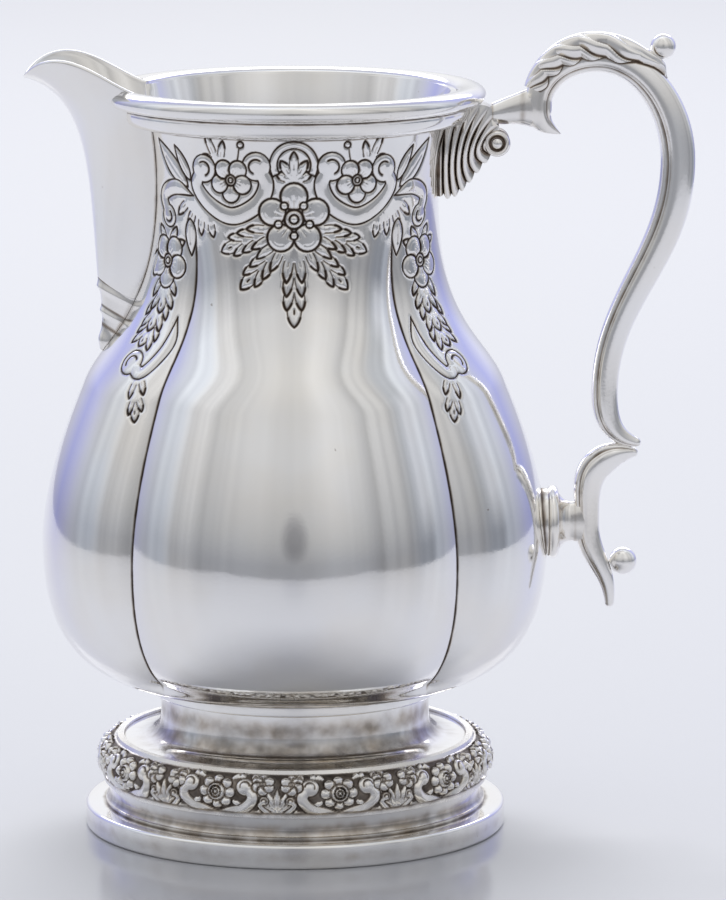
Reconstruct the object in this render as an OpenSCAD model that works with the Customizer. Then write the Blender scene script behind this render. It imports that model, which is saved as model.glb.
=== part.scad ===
// Four-lobed cream jug on a stepped round foot, with an applied spout and a double-scroll handle.
// Millimetres. +Z is up, the origin is the middle of the foot on the table,
// the spout points along -X and the handle stands along +X.

/* [Foot] */
// Outer diameter of the base ring
base_d = 63.4; // [56:0.2:72]
// Height of the base ring
base_h = 3.6; // [2:0.1:6]
// Step from the base ring in to the plinth
base_step = 3; // [1.5:0.1:5]
// Height of the plain plinth under the band
plinth_h = 3.5; // [2:0.1:6]
// Depth of the hollow round the plinth
cove = 0.6; // [0.2:0.1:1]
// Height of the ornamental band
band_h = 6.7; // [4:0.1:10]
// How far the band swells beyond the plinth
band_bulge = 0.9; // [0.3:0.1:2]
// How far the band's top edge is set back from the plinth
band_set = 2.1; // [1:0.1:4]
// Height of the flared stem above the band
trumpet_h = 6.8; // [5:0.1:12]
// Narrowest diameter of the flared stem
stem_d = 40.4; // [32:0.2:44]
// Height of the joint ring between stem and body
collar_h = 1.8; // [1:0.1:4]
// Step from the stem out to the joint ring
collar_step = 1.6; // [0.5:0.1:3]
// Wall of the hollow foot
foot_wall = 1; // [0.7:0.1:1.6]

/* [Body] */
// Diameter over the lobes at the belly
belly_d = 76; // [68:0.5:86]
// Height of the belly above the bottom of the body
belly_rise = 20.9; // [16:0.1:28]
// Diameter over the lobes at the shoulder
shoulder_d = 63.4; // [58:0.2:66]
// Height of the shoulder above the belly
shoulder_rise = 24.1; // [20:0.1:30]
// Lean of the wall at the shoulder, in degrees
shoulder_lean = 22; // [15:1:30]
// Diameter of the neck
neck_d = 43.2; // [38:0.2:48]
// Height of the neck above the shoulder
neck_rise = 27.7; // [24:0.1:34]
// Diameter of the mouth over the wall
mouth_d = 48.4; // [46:0.2:54]
// Height of the mouth above the neck
mouth_rise = 16.1; // [14:0.1:22]
// Depth of the creases between the lobes at the belly
lobe_depth = 4.3; // [1:0.1:6]
// Wall of the body
body_wall = 0.9; // [0.6:0.1:1.6]

/* [Rim] */
// Height of the round bead
bead_h = 2.9; // [2:0.1:4]
// Projection of the bead beyond the mouth
bead_out = 4.4; // [3.5:0.1:6]
// How far the bead's crest stands above the mouth
bead_crest = 0.9; // [0.3:0.1:1.5]
// Height of the sloping fascia under the bead
fascia_h = 2.7; // [1.5:0.1:4]
// Projection of the fascia at its top
fascia_out = 2.4; // [1.5:0.1:3]

/* [Spout] */
// Half-angle that the spout takes from the rim
spout_angle = 25.7; // [20:0.1:30]
// Depth of the spout's root below the mouth
spout_depth = 32.5; // [28:0.5:34]
// Reach of the spout's back beyond the neck
spout_back = 8.6; // [6:0.1:11]
// Reach of the spout's tip beyond the rim's crest
spout_tip = 13.5; // [8:0.1:18]
// Height of the tip above the mouth
tip_rise = 2; // [0:0.1:5]
// Height of the lip's hump above the mouth
lip_hump = 5.1; // [1:0.1:6]
// Wall of the spout
spout_wall = 0.9; // [0.6:0.1:1.2]
// Length of the pointed drop under the spout
drop_len = 8.1; // [5:0.1:10]

/* [Handle] */
// Gap between the rim's crest and the main scroll
handle_gap = 7.5; // [5:0.1:10]
// Depth of the upper stem below the rim's crest
upper_drop = 3.1; // [2:0.1:4]
// Rise of the arch above the upper stem
arch_rise = 7.1; // [5:0.1:10]
// Distance of the arch's top from the front of the scroll
arch_run = 8.7; // [6:0.1:12]
// Reach of the scroll's back from its front
handle_reach = 21; // [17:0.1:26]
// Depth of the scroll's back below the upper stem
back_drop = 8.5; // [5:0.1:14]
// Drop of the upper curl's point below the front of the scroll
curl_drop = 4.3; // [3.2:0.1:5]
// Distance of the curl's point behind the front of the scroll
curl_run = 3.3; // [2.6:0.1:4]
// Half-thickness of the main scroll at its back
scroll_t = 2.7; // [1.8:0.1:3.2]
// Breadth of the scrolls as a share of their thickness
scroll_aspect = 0.86; // [0.6:0.02:1.1]
// Height of the lower joint above the bottom of the body
lower_rise = 23.6; // [20:0.1:27]
// Height of the main scroll's waist above the lower joint
waist_rise = 19.6; // [17:0.1:22]
// Distance of the waist behind the middle of the lower scroll
waist_run = 2.5; // [1.5:0.1:3.5]
// Drop of the main scroll's lip below its waist
lip_drop = 7.5; // [6.8:0.1:8.4]
// Distance of the lip's end behind the middle of the lower scroll
lip_run = 7.2; // [6.6:0.1:9]
// Height of the lower scroll's bend above the lower joint
bend_rise = 8.6; // [7.8:0.1:9.2]
// Distance of the bend behind the middle of the lower scroll
bend_run = 1.5; // [0.8:0.1:2.2]
// Length of the lower scroll's tail below the joint
tail_drop = 12.4; // [10:0.1:15]
// Distance of the tail's end behind the middle of the lower scroll
tail_run = 3.4; // [2.4:0.1:4.6]
// Half-thickness of the lower scroll
lower_t = 2; // [1.6:0.1:2.4]
// Diameter of the lower collar
collar_disc_d = 11; // [9:0.2:14]
// Thickness of the lower collar
collar_disc_t = 1.8; // [1.2:0.1:3]
// Length of the lower stem
lower_stem_len = 2.6; // [1.5:0.1:4]
// Height of the lower stem at its waist
lower_stem_h = 6; // [4:0.1:7]
// Height of the upper stem at the shell
upper_stem_h = 3.2; // [2.4:0.1:3.8]
// Height of the upper stem at the main scroll
upper_stem_end = 5.7; // [4.6:0.1:6.2]
// Depth of the upper stem's underside below the front of the scroll
upper_stem_sink = 2.9; // [2.5:0.1:3.3]
// Diameter of the thumb bead
thumb_bead_d = 3.8; // [2.6:0.1:5]
// Diameter of the lower bead
lower_bead_d = 4.2; // [3:0.1:5]
// Thickness of the thumb leaf along its middle
leaf_t = 1.7; // [0.8:0.1:2.4]
// Number of lobes along each edge of the leaf
leaf_lobes = 6; // [3:1:9]
// Height of the shell mount below the upper stem
shell_h = 13.4; // [11:0.1:15]
// Number of flutes in the shell mount
shell_flutes = 7; // [4:1:8]
// Half-breadth of the shell mount
shell_half = 4.2; // [3:0.1:5]
// Radius of the volute at the shell's outer end
volute_r = 1.7; // [1.3:0.1:2]

/* [Hidden] */
$fn = 96;
// Flat left on a bead where it is soldered on
bead_flat = 0.2;

// Heights of the stack, from the table up
plinth_z = base_h;
band_z = plinth_z + plinth_h;
trumpet_z = band_z + band_h;
collar_z = trumpet_z + trumpet_h;
floor_z = collar_z + collar_h;
belly_z = floor_z + belly_rise;
shoulder_z = belly_z + shoulder_rise;
neck_z = shoulder_z + neck_rise;
mouth_z = neck_z + mouth_rise;
crest_z = mouth_z + bead_crest;

// Radii of the foot
base_r = base_d / 2;
plinth_r = base_r - base_step;
edge_r = plinth_r - band_set;
lip_r = edge_r - 0.7;
stem_r = stem_d / 2;
collar_r = stem_r + collar_step;

// Radii of the body and the rim
belly_r = belly_d / 2;
shoulder_r = shoulder_d / 2;
neck_r = neck_d / 2;
mouth_r = mouth_d / 2;
crest_r = mouth_r + bead_out * 0.55;
bead_r = mouth_r + bead_out;
bead_z = mouth_z - bead_h + bead_crest;
fascia_z = bead_z - fascia_h;
// Thickness of the fascia at its lower edge
fascia_edge = 0.8;

// Straight mixing of two values
function mix(a, b, t) = a + (b - a) * t;
// Value rising smoothly from 0 at a to 1 at b
function ease(a, b, x) = let (t = min(1, max(0, (x - a) / (b - a)))) t * t * (3 - 2 * t);
// Point of a cubic curve
function bez(p, t) = pow(1 - t, 3) * p[0] + 3 * pow(1 - t, 2) * t * p[1] +
    3 * (1 - t) * t * t * p[2] + pow(t, 3) * p[3];
// Direction of a cubic curve
function bez_dir(p, t) = let (d = pow(1 - t, 2) * (p[1] - p[0]) + 2 * (1 - t) * t * (p[2] - p[1]) +
    t * t * (p[3] - p[2])) d / norm(d);
// Cubic curve from p along dp to q along dq, with handles of share k
function turn(p, dp, q, dq, k = 0.5523) =
    [p, p + dp * abs((q - p) * dp) * k, q - dq * abs((q - p) * dq) * k, q];
// n points along a cubic curve, the last one left out
function run(p, n) = [for (i = [0:n - 1]) bez(p, i / n)];

// Solid through closed loops of equal length; in each loop point i faces point n-1-i
module skin(loops) {
    n = len(loops[0]);
    m = len(loops);
    sides = [for (j = [0:m - 2], i = [0:n - 1]) let (a = j * n + i, b = j * n + (i + 1) % n)
        each [[a, b, a + n], [b, b + n, a + n]]];
    first = [for (i = [0:n / 2 - 2]) each [[i, n - 1 - i, i + 1], [i + 1, n - 1 - i, n - 2 - i]]];
    last = [for (f = first) [f[0] + (m - 1) * n, f[2] + (m - 1) * n, f[1] + (m - 1) * n]];
    polyhedron([for (l = loops) each l], concat(sides, first, last));
}

// Outline of the body over its lobes, as curves of [radius, height]
lean = [-sin(shoulder_lean), cos(shoulder_lean)];
bowl_curve = turn([collar_r, floor_z], [1, 0], [belly_r, belly_z], [0, 1], 0.66);
shoulder_p = [shoulder_r, shoulder_z];
flank_curve = [[belly_r, belly_z], [belly_r, belly_z + 0.4 * shoulder_rise],
    shoulder_p - 0.166 * shoulder_rise * lean, shoulder_p];
neck_curve = [shoulder_p, shoulder_p + 0.264 * neck_rise * lean,
    [neck_r, neck_z - 0.68 * neck_rise], [neck_r, neck_z]];
mouth_curve = [[neck_r, neck_z], [neck_r, neck_z + 0.5 * mouth_rise],
    [mix(neck_r, mouth_r, 0.5), mouth_z - 0.25 * mouth_rise], [mouth_r, mouth_z]];
outline = concat(run(bowl_curve, 24), run(flank_curve, 16), run(neck_curve, 20), run(mouth_curve, 12),
    [[mouth_r, mouth_z], [mouth_r, mouth_z + mouth_rise]]);
heights = [for (p = outline) [p[1], p[0]]];

// Share of the crease depth that is left at height z
function crease(z) = ease(floor_z, floor_z + 0.14 * belly_rise, z) *
    (1 - ease(neck_z - 0.54 * neck_rise, neck_z + 0.5 * mouth_rise, z));
// Radius at angle th for a lobed section of crown radius r at height z; the lobes repeat every quarter turn
function lobed(r, th, z) = let (
    a = asin(abs(sin(2 * th))) / 2,
    q = 1 - lobe_depth / belly_r * crease(z),
    c = (1 - q * q) / (2 - sqrt(2) * q))
    r * (c * cos(a) + sqrt(pow(1 - c, 2) - pow(c * sin(a), 2)));
// Outer radius of the body at angle th and height z
function body_r(th, z) = lobed(lookup(z, heights), th, z);
// Point on the body at angle th and height z
function on_body(th, z, in = 0) = (body_r(th, z) - in) * [cos(th), sin(th), 0] + [0, 0, z];

// Angles round the body, closer together where the mouth is cut away at the spout
notch_angle = spout_angle - 4;
notch_z = mouth_z - spout_depth + 7;
around = 54;
across = 8;
angles = concat(
    [for (i = [0:across / 2 - 1]) -180 + notch_angle * (i + 0.5) / (across / 2)],
    [for (i = [0:around - 1]) (180 - notch_angle) * (2 * i / (around - 1) - 1)],
    [for (i = [across / 2 - 1:-1:0]) 180 - notch_angle * (i + 0.5) / (across / 2)]);
// Top edge of the wall at angle th
function top_z(th) = let (a = (180 - abs(th)) / notch_angle)
    a < 1 ? mix(notch_z, mouth_z, a * a) : mouth_z;

// Body shell with a flat floor, its mouth cut away behind the spout
module body() {
    free_z = notch_z - 5;
    bowl_n = 8;
    flank_n = 9;
    top_n = 7;
    outer = concat(
        [for (j = [top_n:-1:0]) [for (a = angles) on_body(a, mix(free_z, top_z(a), j / top_n))]],
        [for (j = [flank_n - 1:-1:0]) [for (a = angles) on_body(a, mix(belly_z, free_z, j / flank_n))]],
        [for (j = [bowl_n - 1:-1:0]) let (p = bez(bowl_curve, j / bowl_n))
            [for (a = angles) lobed(p[0], a, p[1]) * [cos(a), sin(a), 0] + [0, 0, p[1]]]]);
    inner = concat(
        [for (j = [0:5]) let (p = bez(bowl_curve, j / 5), d = bez_dir(bowl_curve, j / 5),
            q = p - body_wall * [d[1], -d[0]])
            [for (a = angles) lobed(q[0], a, p[1]) * [cos(a), sin(a), 0] + [0, 0, q[1]]]],
        [for (j = [1:4]) [for (a = angles) on_body(a, mix(belly_z, free_z, j / 5), body_wall)]],
        [for (j = [0:4]) [for (a = angles) on_body(a, mix(free_z, top_z(a), j / 4), body_wall)]]);
    color([0.83, 0.82, 0.79]) skin(concat(inner, outer));
}

// Section of the rim moulding, seated against the flare of the mouth
module rim_section() {
    steps = 10;
    wall = [for (i = [0:4]) let (z = mix(fascia_z, mouth_z, i / 4)) [lookup(z, heights), z]];
    over = turn(wall[4], [0, 1], [crest_r, crest_z], [1, 0]);
    out = turn([crest_r, crest_z], [1, 0], [bead_r, mix(bead_z, crest_z, 0.5)], [0, -1]);
    under = turn(out[3], [0, -1], [mouth_r + fascia_out, bead_z], [-1, 0]);
    fascia_low = wall[0][0] + fascia_edge;
    polygon(concat(wall, run(over, 4), run(out, steps), run(under, steps), [under[3]],
        [[mouth_r + fascia_out, bead_z - 0.3], [fascia_low, fascia_z + 0.5], [fascia_low, fascia_z]]));
}

// Moulded wire round the mouth, ended against the sides of the spout
module rim_moulding() {
    inset = spout_angle - 12;
    color([0.84, 0.83, 0.8]) difference() {
        rotate([0, 0, 180 + inset]) rotate_extrude(angle = 360 - 2 * inset) rim_section();
        spout_envelope();
    }
}

// Curve of the spout's back in the plane of the handle, as [x, z]
tail_z = mouth_z - spout_depth;
tip_p = [-crest_r - spout_tip, mouth_z + tip_rise];
back_x = -neck_r - spout_back;
back_curve = [[back_x + 0.12 * spout_back, tail_z + 0.07 * spout_depth],
    [back_x - 0.05 * spout_back, mouth_z - 0.43 * spout_depth],
    [back_x + 0.05 * spout_back, mouth_z - 0.5], tip_p];
// Lowest section of the spout, where the drop begins
spout_from = 0.05;

// Section v of the spout, from its root on one side round the back to the other, set in by a wall
function spout_section(v, wall, n = 20) = let (
    z = mix(tail_z, mouth_z, v),
    r = body_r(0, z),
    th = spout_angle * sqrt(v) - wall / r * 180 / PI,
    back = bez(back_curve, v) + [wall, 0],
    root = body_r(th, z) * [cos(th), sin(th)],
    grow = (0.3 + 0.12 * pow(v, 6)) * (-back[0] - root[0]),
    p = [root, root + grow * [cos(th), sin(th)], [-back[0], root[1] * 0.56], [-back[0], 0]])
    [for (i = [0:n]) let (u = 1 - abs(2 * i / n - 1), b = bez(p, u), side = i * 2 < n ? -1 : 1)
        [-b[0], side * b[1], mix(z, back[1], u * u * (3 - 2 * u)) +
            lip_hump * pow(v, 8) * pow(sin(180 * u), 1.5) * 0.75]];

// Beak with an open channel, its root seated on the neck
module spout() {
    n = 14;
    color([0.85, 0.84, 0.81]) skin([for (j = [0:n]) let (v = mix(spout_from, 1, j / n),
        inner = spout_section(v, spout_wall))
        concat(spout_section(v, 0), [for (i = [len(inner) - 1:-1:0]) inner[i]])]);
}

// Space taken by the spout where the rim meets it
module spout_envelope() {
    n = 7;
    sides = 12;
    reach = [6, 0.4];
    function inward(q, by) = let (k = 1 - by / norm([q[0], q[1]])) [q[0] * k, q[1] * k, q[2]];
    function filled(v, up) = let (s = spout_section(v, 0, sides))
        [for (q = concat([for (by = reach) inward(s[0], by)], [for (i = [1:sides - 1]) s[i]],
            [for (i = [1:-1:0]) inward(s[sides], reach[i])])) q + [0, 0, up]];
    loops = concat([for (j = [0:n]) filled(mix(0.55, 1, j / n), 0)], [filled(1, 6)]);
    skin([for (l = loops) concat(l, [l[len(l) - 1] * 0.98 + l[0] * 0.02])]);
}

// Point on the body under the spout, at about y from the middle plane
function on_spout_side(y, z) = let (q = on_body(asin(y / body_r(0, z)), z)) [-q[0], q[1], z];
// Section w of the drop, from its top under the spout past two bars to its swollen point
function drop_section(w) = let (
    n = 12,
    top = spout_section(spout_from, 0, n),
    z = top[0][2] - drop_len * w,
    r = body_r(0, z),
    bands = 0.35 * exp(-pow((w - 0.13) / 0.05, 2)) + 0.3 * exp(-pow((w - 0.47) / 0.045, 2)) +
        0.4 * exp(-pow((w - 0.87) / 0.11, 2)),
    end_r = body_r(0, top[0][2] - drop_len) + 0.3,
    out = mix(-top[n / 2][0], end_r, w) - r + bands - 0.45 * sin(180 * w),
    rise = mix(top[n / 2][2] - top[0][2], 0.4, w),
    width = mix(top[n][1], 0.6, w) + 0.6 * bands,
    arc = [for (i = [0:n]) let (a = 180 * i / n - 90)
        on_spout_side(width * sin(a), z) + [-out * cos(a), 0, rise * cos(a)]],
    front = [for (i = [0:n]) mix(top[i], arc[i], ease(0, 0.12, w))],
    back = [for (i = [n - 1:-1:1]) on_spout_side(front[i][1], z)])
    concat(front, back);

// Banded, pointed drop under the spout
module spout_drop() {
    n = 23;
    color([0.82, 0.81, 0.78]) skin([for (j = [n:-1:0]) drop_section(j / n)]);
}

// Main scroll: stations along its middle line as [x, z]
front_p = [crest_r + handle_gap + scroll_t * 0.8, crest_z - upper_drop];
curl_p = front_p + [curl_run, -curl_drop];
top_p = front_p + [arch_run, arch_rise];
back_p = front_p + [handle_reach, -back_drop];
// Lower joint on the belly
joint_z = floor_z + lower_rise;
joint_x = body_r(0, joint_z);
lower_p = [joint_x + collar_disc_t + lower_stem_len + lower_t * 0.9, joint_z];
waist_p = lower_p + [waist_run, waist_rise];
lip_p = lower_p + [lip_run, waist_rise - lip_drop];
// Bend of the lower scroll under the main one, and its end along the lip
bend_p = lower_p + [bend_run, bend_rise];
end_p = lip_p - [0.2, 0.8] * lower_t;
curl_way = [-0.9, 0.43];
lip_way = [0.97, -0.24];
bend_way = [-0.72, -0.69];
scroll_paths = [
    turn(curl_p, curl_way, front_p, [0, 1]),
    turn(front_p, [0, 1], top_p, [1, 0]),
    turn(top_p, [1, 0], back_p, [0, -1]),
    turn(back_p, [0, -1], waist_p, [0, -1], 0.42),
    turn(waist_p, [0, -1], lip_p, lip_way)];
// Half-thickness of the main scroll at the ends of its curves
scroll_half = [0.05, 0.78, 0.82, 1, 0.76, 0.28] * scroll_t;
lower_paths = [
    turn(end_p, [-1, 0], bend_p, bend_way, 0.4),
    turn(bend_p, bend_way, lower_p, [0, -1], 0.4),
    turn(lower_p, [0, -1], lower_p + [tail_run, -tail_drop], [0, -1], 0.45)];
lower_half = [0.36, 1.2, 1.02, 0.28] * lower_t;

// Half-thickness at parameter g of a chain of curves, full until close to the two ends
function half_at(halves, g) = let (last = len(halves) - 2, k = min(last, floor(g)), t = g - k,
    e = k == 0 ? t * (2 - t) : k == last ? t * t : t * t * (3 - 2 * t))
    mix(halves[k], halves[k + 1], e);
// Middle point, outward normal and half-thickness at parameter g
function path_at(paths, halves, g) = let (k = min(len(paths) - 1, floor(g)),
    p = bez(paths[k], g - k), d = bez_dir(paths[k], g - k))
    [p, [-d[1], d[0]], half_at(halves, g)];
// Point at angle a of the section at station s, raised by t
function on_scroll(s, a, t = 0) = let (u = (s[2] + t) * cos(a), y = (s[2] * scroll_aspect + t) * sin(a))
    [s[0][0] + u * s[1][0], y, s[0][1] + u * s[1][1]];
// Section s shrunk and moved on by the angle k of a rounded nose, forward or back
function nose(s, k, way) = [s[0] + way * s[2] * sin(k) * [s[1][1], -s[1][0]], s[1], s[2] * cos(k)];
nose_steps = [40, 70, 86];
// Loops of a scroll from parameter g0 to g1, with a nose where it begins or ends
function scroll_loops(paths, halves, g0, g1, n, blunt = false, sides = 12) = let (
    run = [for (j = [0:n]) path_at(paths, halves, mix(g0, g1, j / n))],
    head = [for (k = blunt && g0 == 0 ? nose_steps : []) nose(run[0], k, -1)],
    stations = concat([for (i = [len(head) - 1:-1:0]) head[i]], run,
        [for (k = blunt ? nose_steps : []) nose(run[n], k, 1)]))
    [for (s = stations) [for (i = [0:sides - 1]) on_scroll(s, (i + 0.5) * 360 / sides)]];

// Main S-shaped scroll, from the point of its curl to its lip
module handle_scroll() {
    color([0.8, 0.79, 0.76]) skin(scroll_loops(scroll_paths, scroll_half, 0, 5, 44, true));
}

// Reversed scroll, fitted under the lip of the main one
module lower_scroll() {
    lip_from = 3.7;
    color([0.8, 0.79, 0.76]) difference() {
        skin(scroll_loops(lower_paths, lower_half, 0, 3, 27, true));
        skin(scroll_loops(scroll_paths, scroll_half, lip_from, 5, 10, true));
    }
}

// Place on the main scroll at share w of the leaf's length
function leaf_at(w) = path_at(scroll_paths, scroll_half, mix(1.18, 2.42, w));
// Thickness along the middle of the leaf at share w of its length
function leaf_crest(w) = leaf_t * (0.2 + 0.8 * ease(-0.1, 0.55, w)) * (1 - 0.35 * ease(0.6, 1, w));
// Leaf lying over the arch, its edges cut into lobes
module thumb_leaf() {
    n = 30;
    m = 6;
    function wrap(w) = (82 + 18 * abs(sin(180 * leaf_lobes * w)) * (1 - 0.5 * w)) *
        (1 - 0.45 * ease(0.7, 1, w));
    function thick(a, w) = leaf_crest(w) * (0.3 + 0.7 * pow(cos(a * 0.75), 2));
    color([0.81, 0.8, 0.77]) skin([for (j = [0:n]) let (w = j / n, s = leaf_at(w))
        concat([for (i = [-m:m]) let (a = wrap(w) * i / m) on_scroll(s, a, thick(a, w))],
            [for (i = [m:-1:-m]) let (a = wrap(w) * i / m) on_scroll(s, a)])]);
}

// Ball of diameter d with a flat seat, its seat at the origin and the ball along +Z
module seated_ball(d) {
    intersection() {
        translate([0, 0, d / 2 - bead_flat]) sphere(d = d);
        translate([-d, -d, 0]) cube(2 * d);
    }
}

// Ball at the end of the leaf
module thumb_bead() {
    w = 0.95;
    s = leaf_at(w);
    top = on_scroll(s, 0, leaf_crest(w));
    color([0.86, 0.85, 0.82]) translate(top) rotate([0, 90 - atan2(s[1][1], s[1][0]), 0])
        seated_ball(thumb_bead_d);
}

// Ball in the curl of the lower scroll, at a place along its tail
module lower_bead() {
    bead_at = 2.62;
    s = path_at(lower_paths, lower_half, bead_at);
    color([0.86, 0.85, 0.82]) translate(on_scroll(s, 0)) rotate([0, 90 - atan2(s[1][1], s[1][0]), 0])
        seated_ball(lower_bead_d);
}

// Solid along +X through upright oval sections, each given as [x, middle height, half-height, half-breadth]
module web(sections, sides = 16) {
    skin([for (q = sections) [for (i = [0:sides - 1]) let (a = (i + 0.5) * 360 / sides)
        [q[0], q[3] * sin(a), q[1] + q[2] * cos(a)]]]);
}

// Flattened stem with a waist, from the lower collar to the lower scroll
module lower_stem() {
    n = 8;
    waist_at = 0.45;
    from = joint_x + collar_disc_t;
    long = lower_stem_len + lower_t * 0.8;
    h = lower_stem_h / 2;
    h0 = mix(h, collar_disc_d / 2, 0.55);
    h1 = h * 1.3;
    b = scroll_aspect * lower_t * 0.9;
    b0 = mix(b, collar_disc_d / 2, 0.4);
    function bow(t, from, mid, to) = t < waist_at ? mix(mid, from, pow(1 - t / waist_at, 2)) :
        mix(mid, to, pow((t - waist_at) / (1 - waist_at), 2));
    color([0.82, 0.81, 0.78]) difference() {
        web([for (j = [0:n]) let (t = j / n)
            [from + long * t, joint_z, bow(t, h0, h, h1), bow(t, b0, b, b)]]);
        skin(scroll_loops(lower_paths, lower_half, 1.1, 2.7, 14));
    }
}

// Disc soldered to the belly
module lower_collar() {
    r = collar_disc_d / 2;
    t = collar_disc_t;
    color([0.84, 0.83, 0.8]) difference() {
        translate([joint_x + t, 0, joint_z]) rotate([0, -90, 0]) rotate_extrude() union() {
            square([r - t / 2, 2.2 * t]);
            translate([r - t / 2, t / 2]) circle(d = t);
            translate([0, t / 2]) square([r, 1.7 * t]);
        }
        belly_patch();
    }
}

// Block whose outer face is the wall of the body round the lower joint
module belly_patch() {
    n = 6;
    span = 13;
    tall = collar_disc_d;
    deep = 8;
    skin([for (j = [n:-1:0]) let (z = joint_z + tall * (j / n - 0.5) * 1.6)
        concat([for (i = [0:9]) on_body(span * (i / 4.5 - 1), z)],
            [for (i = [9:-1:0]) on_body(span * (i / 4.5 - 1), z, deep)])]);
}

// Bracket from the shell up to the main scroll, arched underneath
stem_from = bead_r + 0.8;
stem_low = front_p[1] - upper_stem_sink;
module upper_stem() {
    n = 8;
    arch = 0.5;
    b = scroll_aspect * scroll_t * 0.66;
    color([0.82, 0.81, 0.78]) difference() {
        web([for (j = [0:n]) let (t = j / n, low = stem_low - arch * ease(0.6, 1, t),
            top = stem_low + mix(upper_stem_h, upper_stem_end, t))
            [mix(stem_from, front_p[0], t), (top + low) / 2, (top - low) / 2, b]]);
        skin(scroll_loops(scroll_paths, scroll_half, 0.2, 1.8, 14));
    }
}

// Radius that the shell keeps clear of: the neck, the fascia and the round underside of the bead
function seat_r(z) = let (half = (crest_z - bead_z) / 2, low = lookup(fascia_z, heights) + fascia_edge,
    edge = mouth_r + fascia_out, k = (bead_z + half - z) / half)
    z < fascia_z ? body_r(0, z) : z < bead_z ? mix(low, edge, (z - fascia_z) / fascia_h) :
    k > 0 ? mix(edge, bead_r, sqrt(1 - k * k)) : bead_r;
// Point moved along X onto the neck or the rim
function seated(p) = [sqrt(pow(seat_r(p[2]), 2) - p[1] * p[1]), p[1], p[2]];
// Point moved out along X only as far as it must to clear them
function cleared(p) = let (q = seated(p)) p[0] > q[0] ? p : q;

// Fluted shell under the rim, its flutes bent round the volute at its outer end
volute_p = [stem_from + 0.8, stem_low - 0.95 - volute_r];
shell_z = front_p[1] - shell_h;
module shell_mount() {
    rows = 9;
    cols = shell_flutes * 6;
    top = [[neck_r, fascia_z - 0.3], [neck_r + 4.2, fascia_z + 3.4], [stem_from + 1.2, fascia_z + 4.5],
        volute_p + volute_r * [0.18, 0.98]];
    foot = [[neck_r, shell_z], [neck_r + 3, shell_z - 2], [neck_r + 5.2, mix(shell_z, volute_p[1], 0.48)],
        volute_p - volute_r * [0.12, 0.98]];
    function flute(s) = abs(cos(180 * shell_flutes * s));
    // Point at share t of the bent flute s, kept out of the space of the stem
    function spot(s, t) = let (p = bez(top, s), q = bez(foot, s) + [0, 0.7 * (1 - flute(s))],
        m = mix([neck_r, volute_p[1] - 2.2], volute_p - [volute_r, 0], s),
        b = pow(1 - t, 2) * p + 2 * t * (1 - t) * (2 * m - (p + q) / 2) + t * t * q,
        past = b - [stem_from, stem_low])
        past[0] <= 0 || past[1] <= 0 ? b : past[0] < past[1] ? [stem_from, b[1]] : [b[0], stem_low];
    function deep(s, t) = shell_half * (1 - 0.45 * s) * (0.55 + 0.5 * sin(30 + 150 * t)) *
        (1 - 0.16 * (1 - flute(s)) * min(1, 3 * t));
    function side(i, t, f) = let (q = spot(i / cols, t), p = [q[0], f * deep(i / cols, t), q[1]])
        i == 0 ? seated(p) : cleared(p);
    loops = [for (j = [0:rows]) let (t = j / rows) concat(
        [for (f = [-0.2, -0.6]) side(0, t, f)],
        [for (i = [0:cols]) side(i, t, -1)],
        [for (i = [cols:-1:0]) side(i, t, 1)],
        [for (f = [0.6, 0.2]) side(0, t, f)])];
    color([0.8, 0.79, 0.76]) union() {
        skin(loops);
        translate([volute_p[0], 0, volute_p[1]]) rotate([90, 0, 0])
            cylinder(r = volute_r, h = shell_half * 1.2, center = true);
    }
}

// Short ring between the stem of the foot and the body
module foot_collar() {
    color([0.82, 0.81, 0.78]) translate([0, 0, collar_z]) rotate_extrude()
        translate([stem_r - foot_wall, 0]) square([collar_step + foot_wall, collar_h]);
}

// Spun stem of the foot: a straight wall that turns sharply out into a flat ledge
module foot_trumpet() {
    low = trumpet_z - 0.4;
    straight = collar_z - 1.6;
    hug = 0.86;
    rise = turn([lip_r, low], [-1, 0], [stem_r, straight], [0, 1], hug);
    under = turn([lip_r, low - foot_wall], [-1, 0], [stem_r - foot_wall, straight], [0, 1], hug);
    inner = run(under, 12);
    color([0.84, 0.83, 0.8]) rotate_extrude()
        polygon(concat(run(rise, 12), [rise[3], [stem_r, collar_z], [stem_r - foot_wall, collar_z], under[3]],
            [for (i = [11:-1:0]) inner[i]]));
}

// Ornamental band, swelling over the plinth and ending in a narrow edge
module foot_band() {
    fillet = 0.5;
    low = [plinth_r + 0.3, band_z];
    belly = [plinth_r + band_bulge, band_z + band_h * 0.4];
    top = [edge_r + 0.5, trumpet_z - fillet];
    swell = turn(low + [0, fillet], [0, 1], belly, [0, 1], 0.4);
    shoulder = turn(belly, [0, 1], top, [-1, 0], 0.6);
    color([0.7, 0.68, 0.64]) rotate_extrude()
        polygon(concat([[lip_r, band_z], low], run(swell, 8), run(shoulder, 10), [top],
            [[edge_r + 0.3, trumpet_z], [lip_r, trumpet_z]]));
}

// Plain cove under the band
module foot_plinth() {
    in = foot_wall + cove;
    mid = plinth_z + plinth_h * 0.5;
    hollow = turn([plinth_r, plinth_z + 0.5], [-1, 0], [plinth_r - cove, mid], [0, 1]);
    color([0.83, 0.82, 0.79]) rotate_extrude()
        polygon(concat([[plinth_r - in, plinth_z], [plinth_r, plinth_z]], run(hollow, 6),
            [hollow[3], [plinth_r - cove * 0.5, band_z], [plinth_r - in, band_z]]));
}

// Base ring that stands on the table
module foot_ring() {
    in = plinth_r - foot_wall - cove - 0.6;
    soft = 0.5;
    color([0.84, 0.83, 0.8]) rotate_extrude()
        polygon([[in, 0], [base_r - soft, 0], [base_r, soft], [base_r, base_h - soft],
            [base_r - soft, base_h], [in, base_h]]);
}

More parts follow.
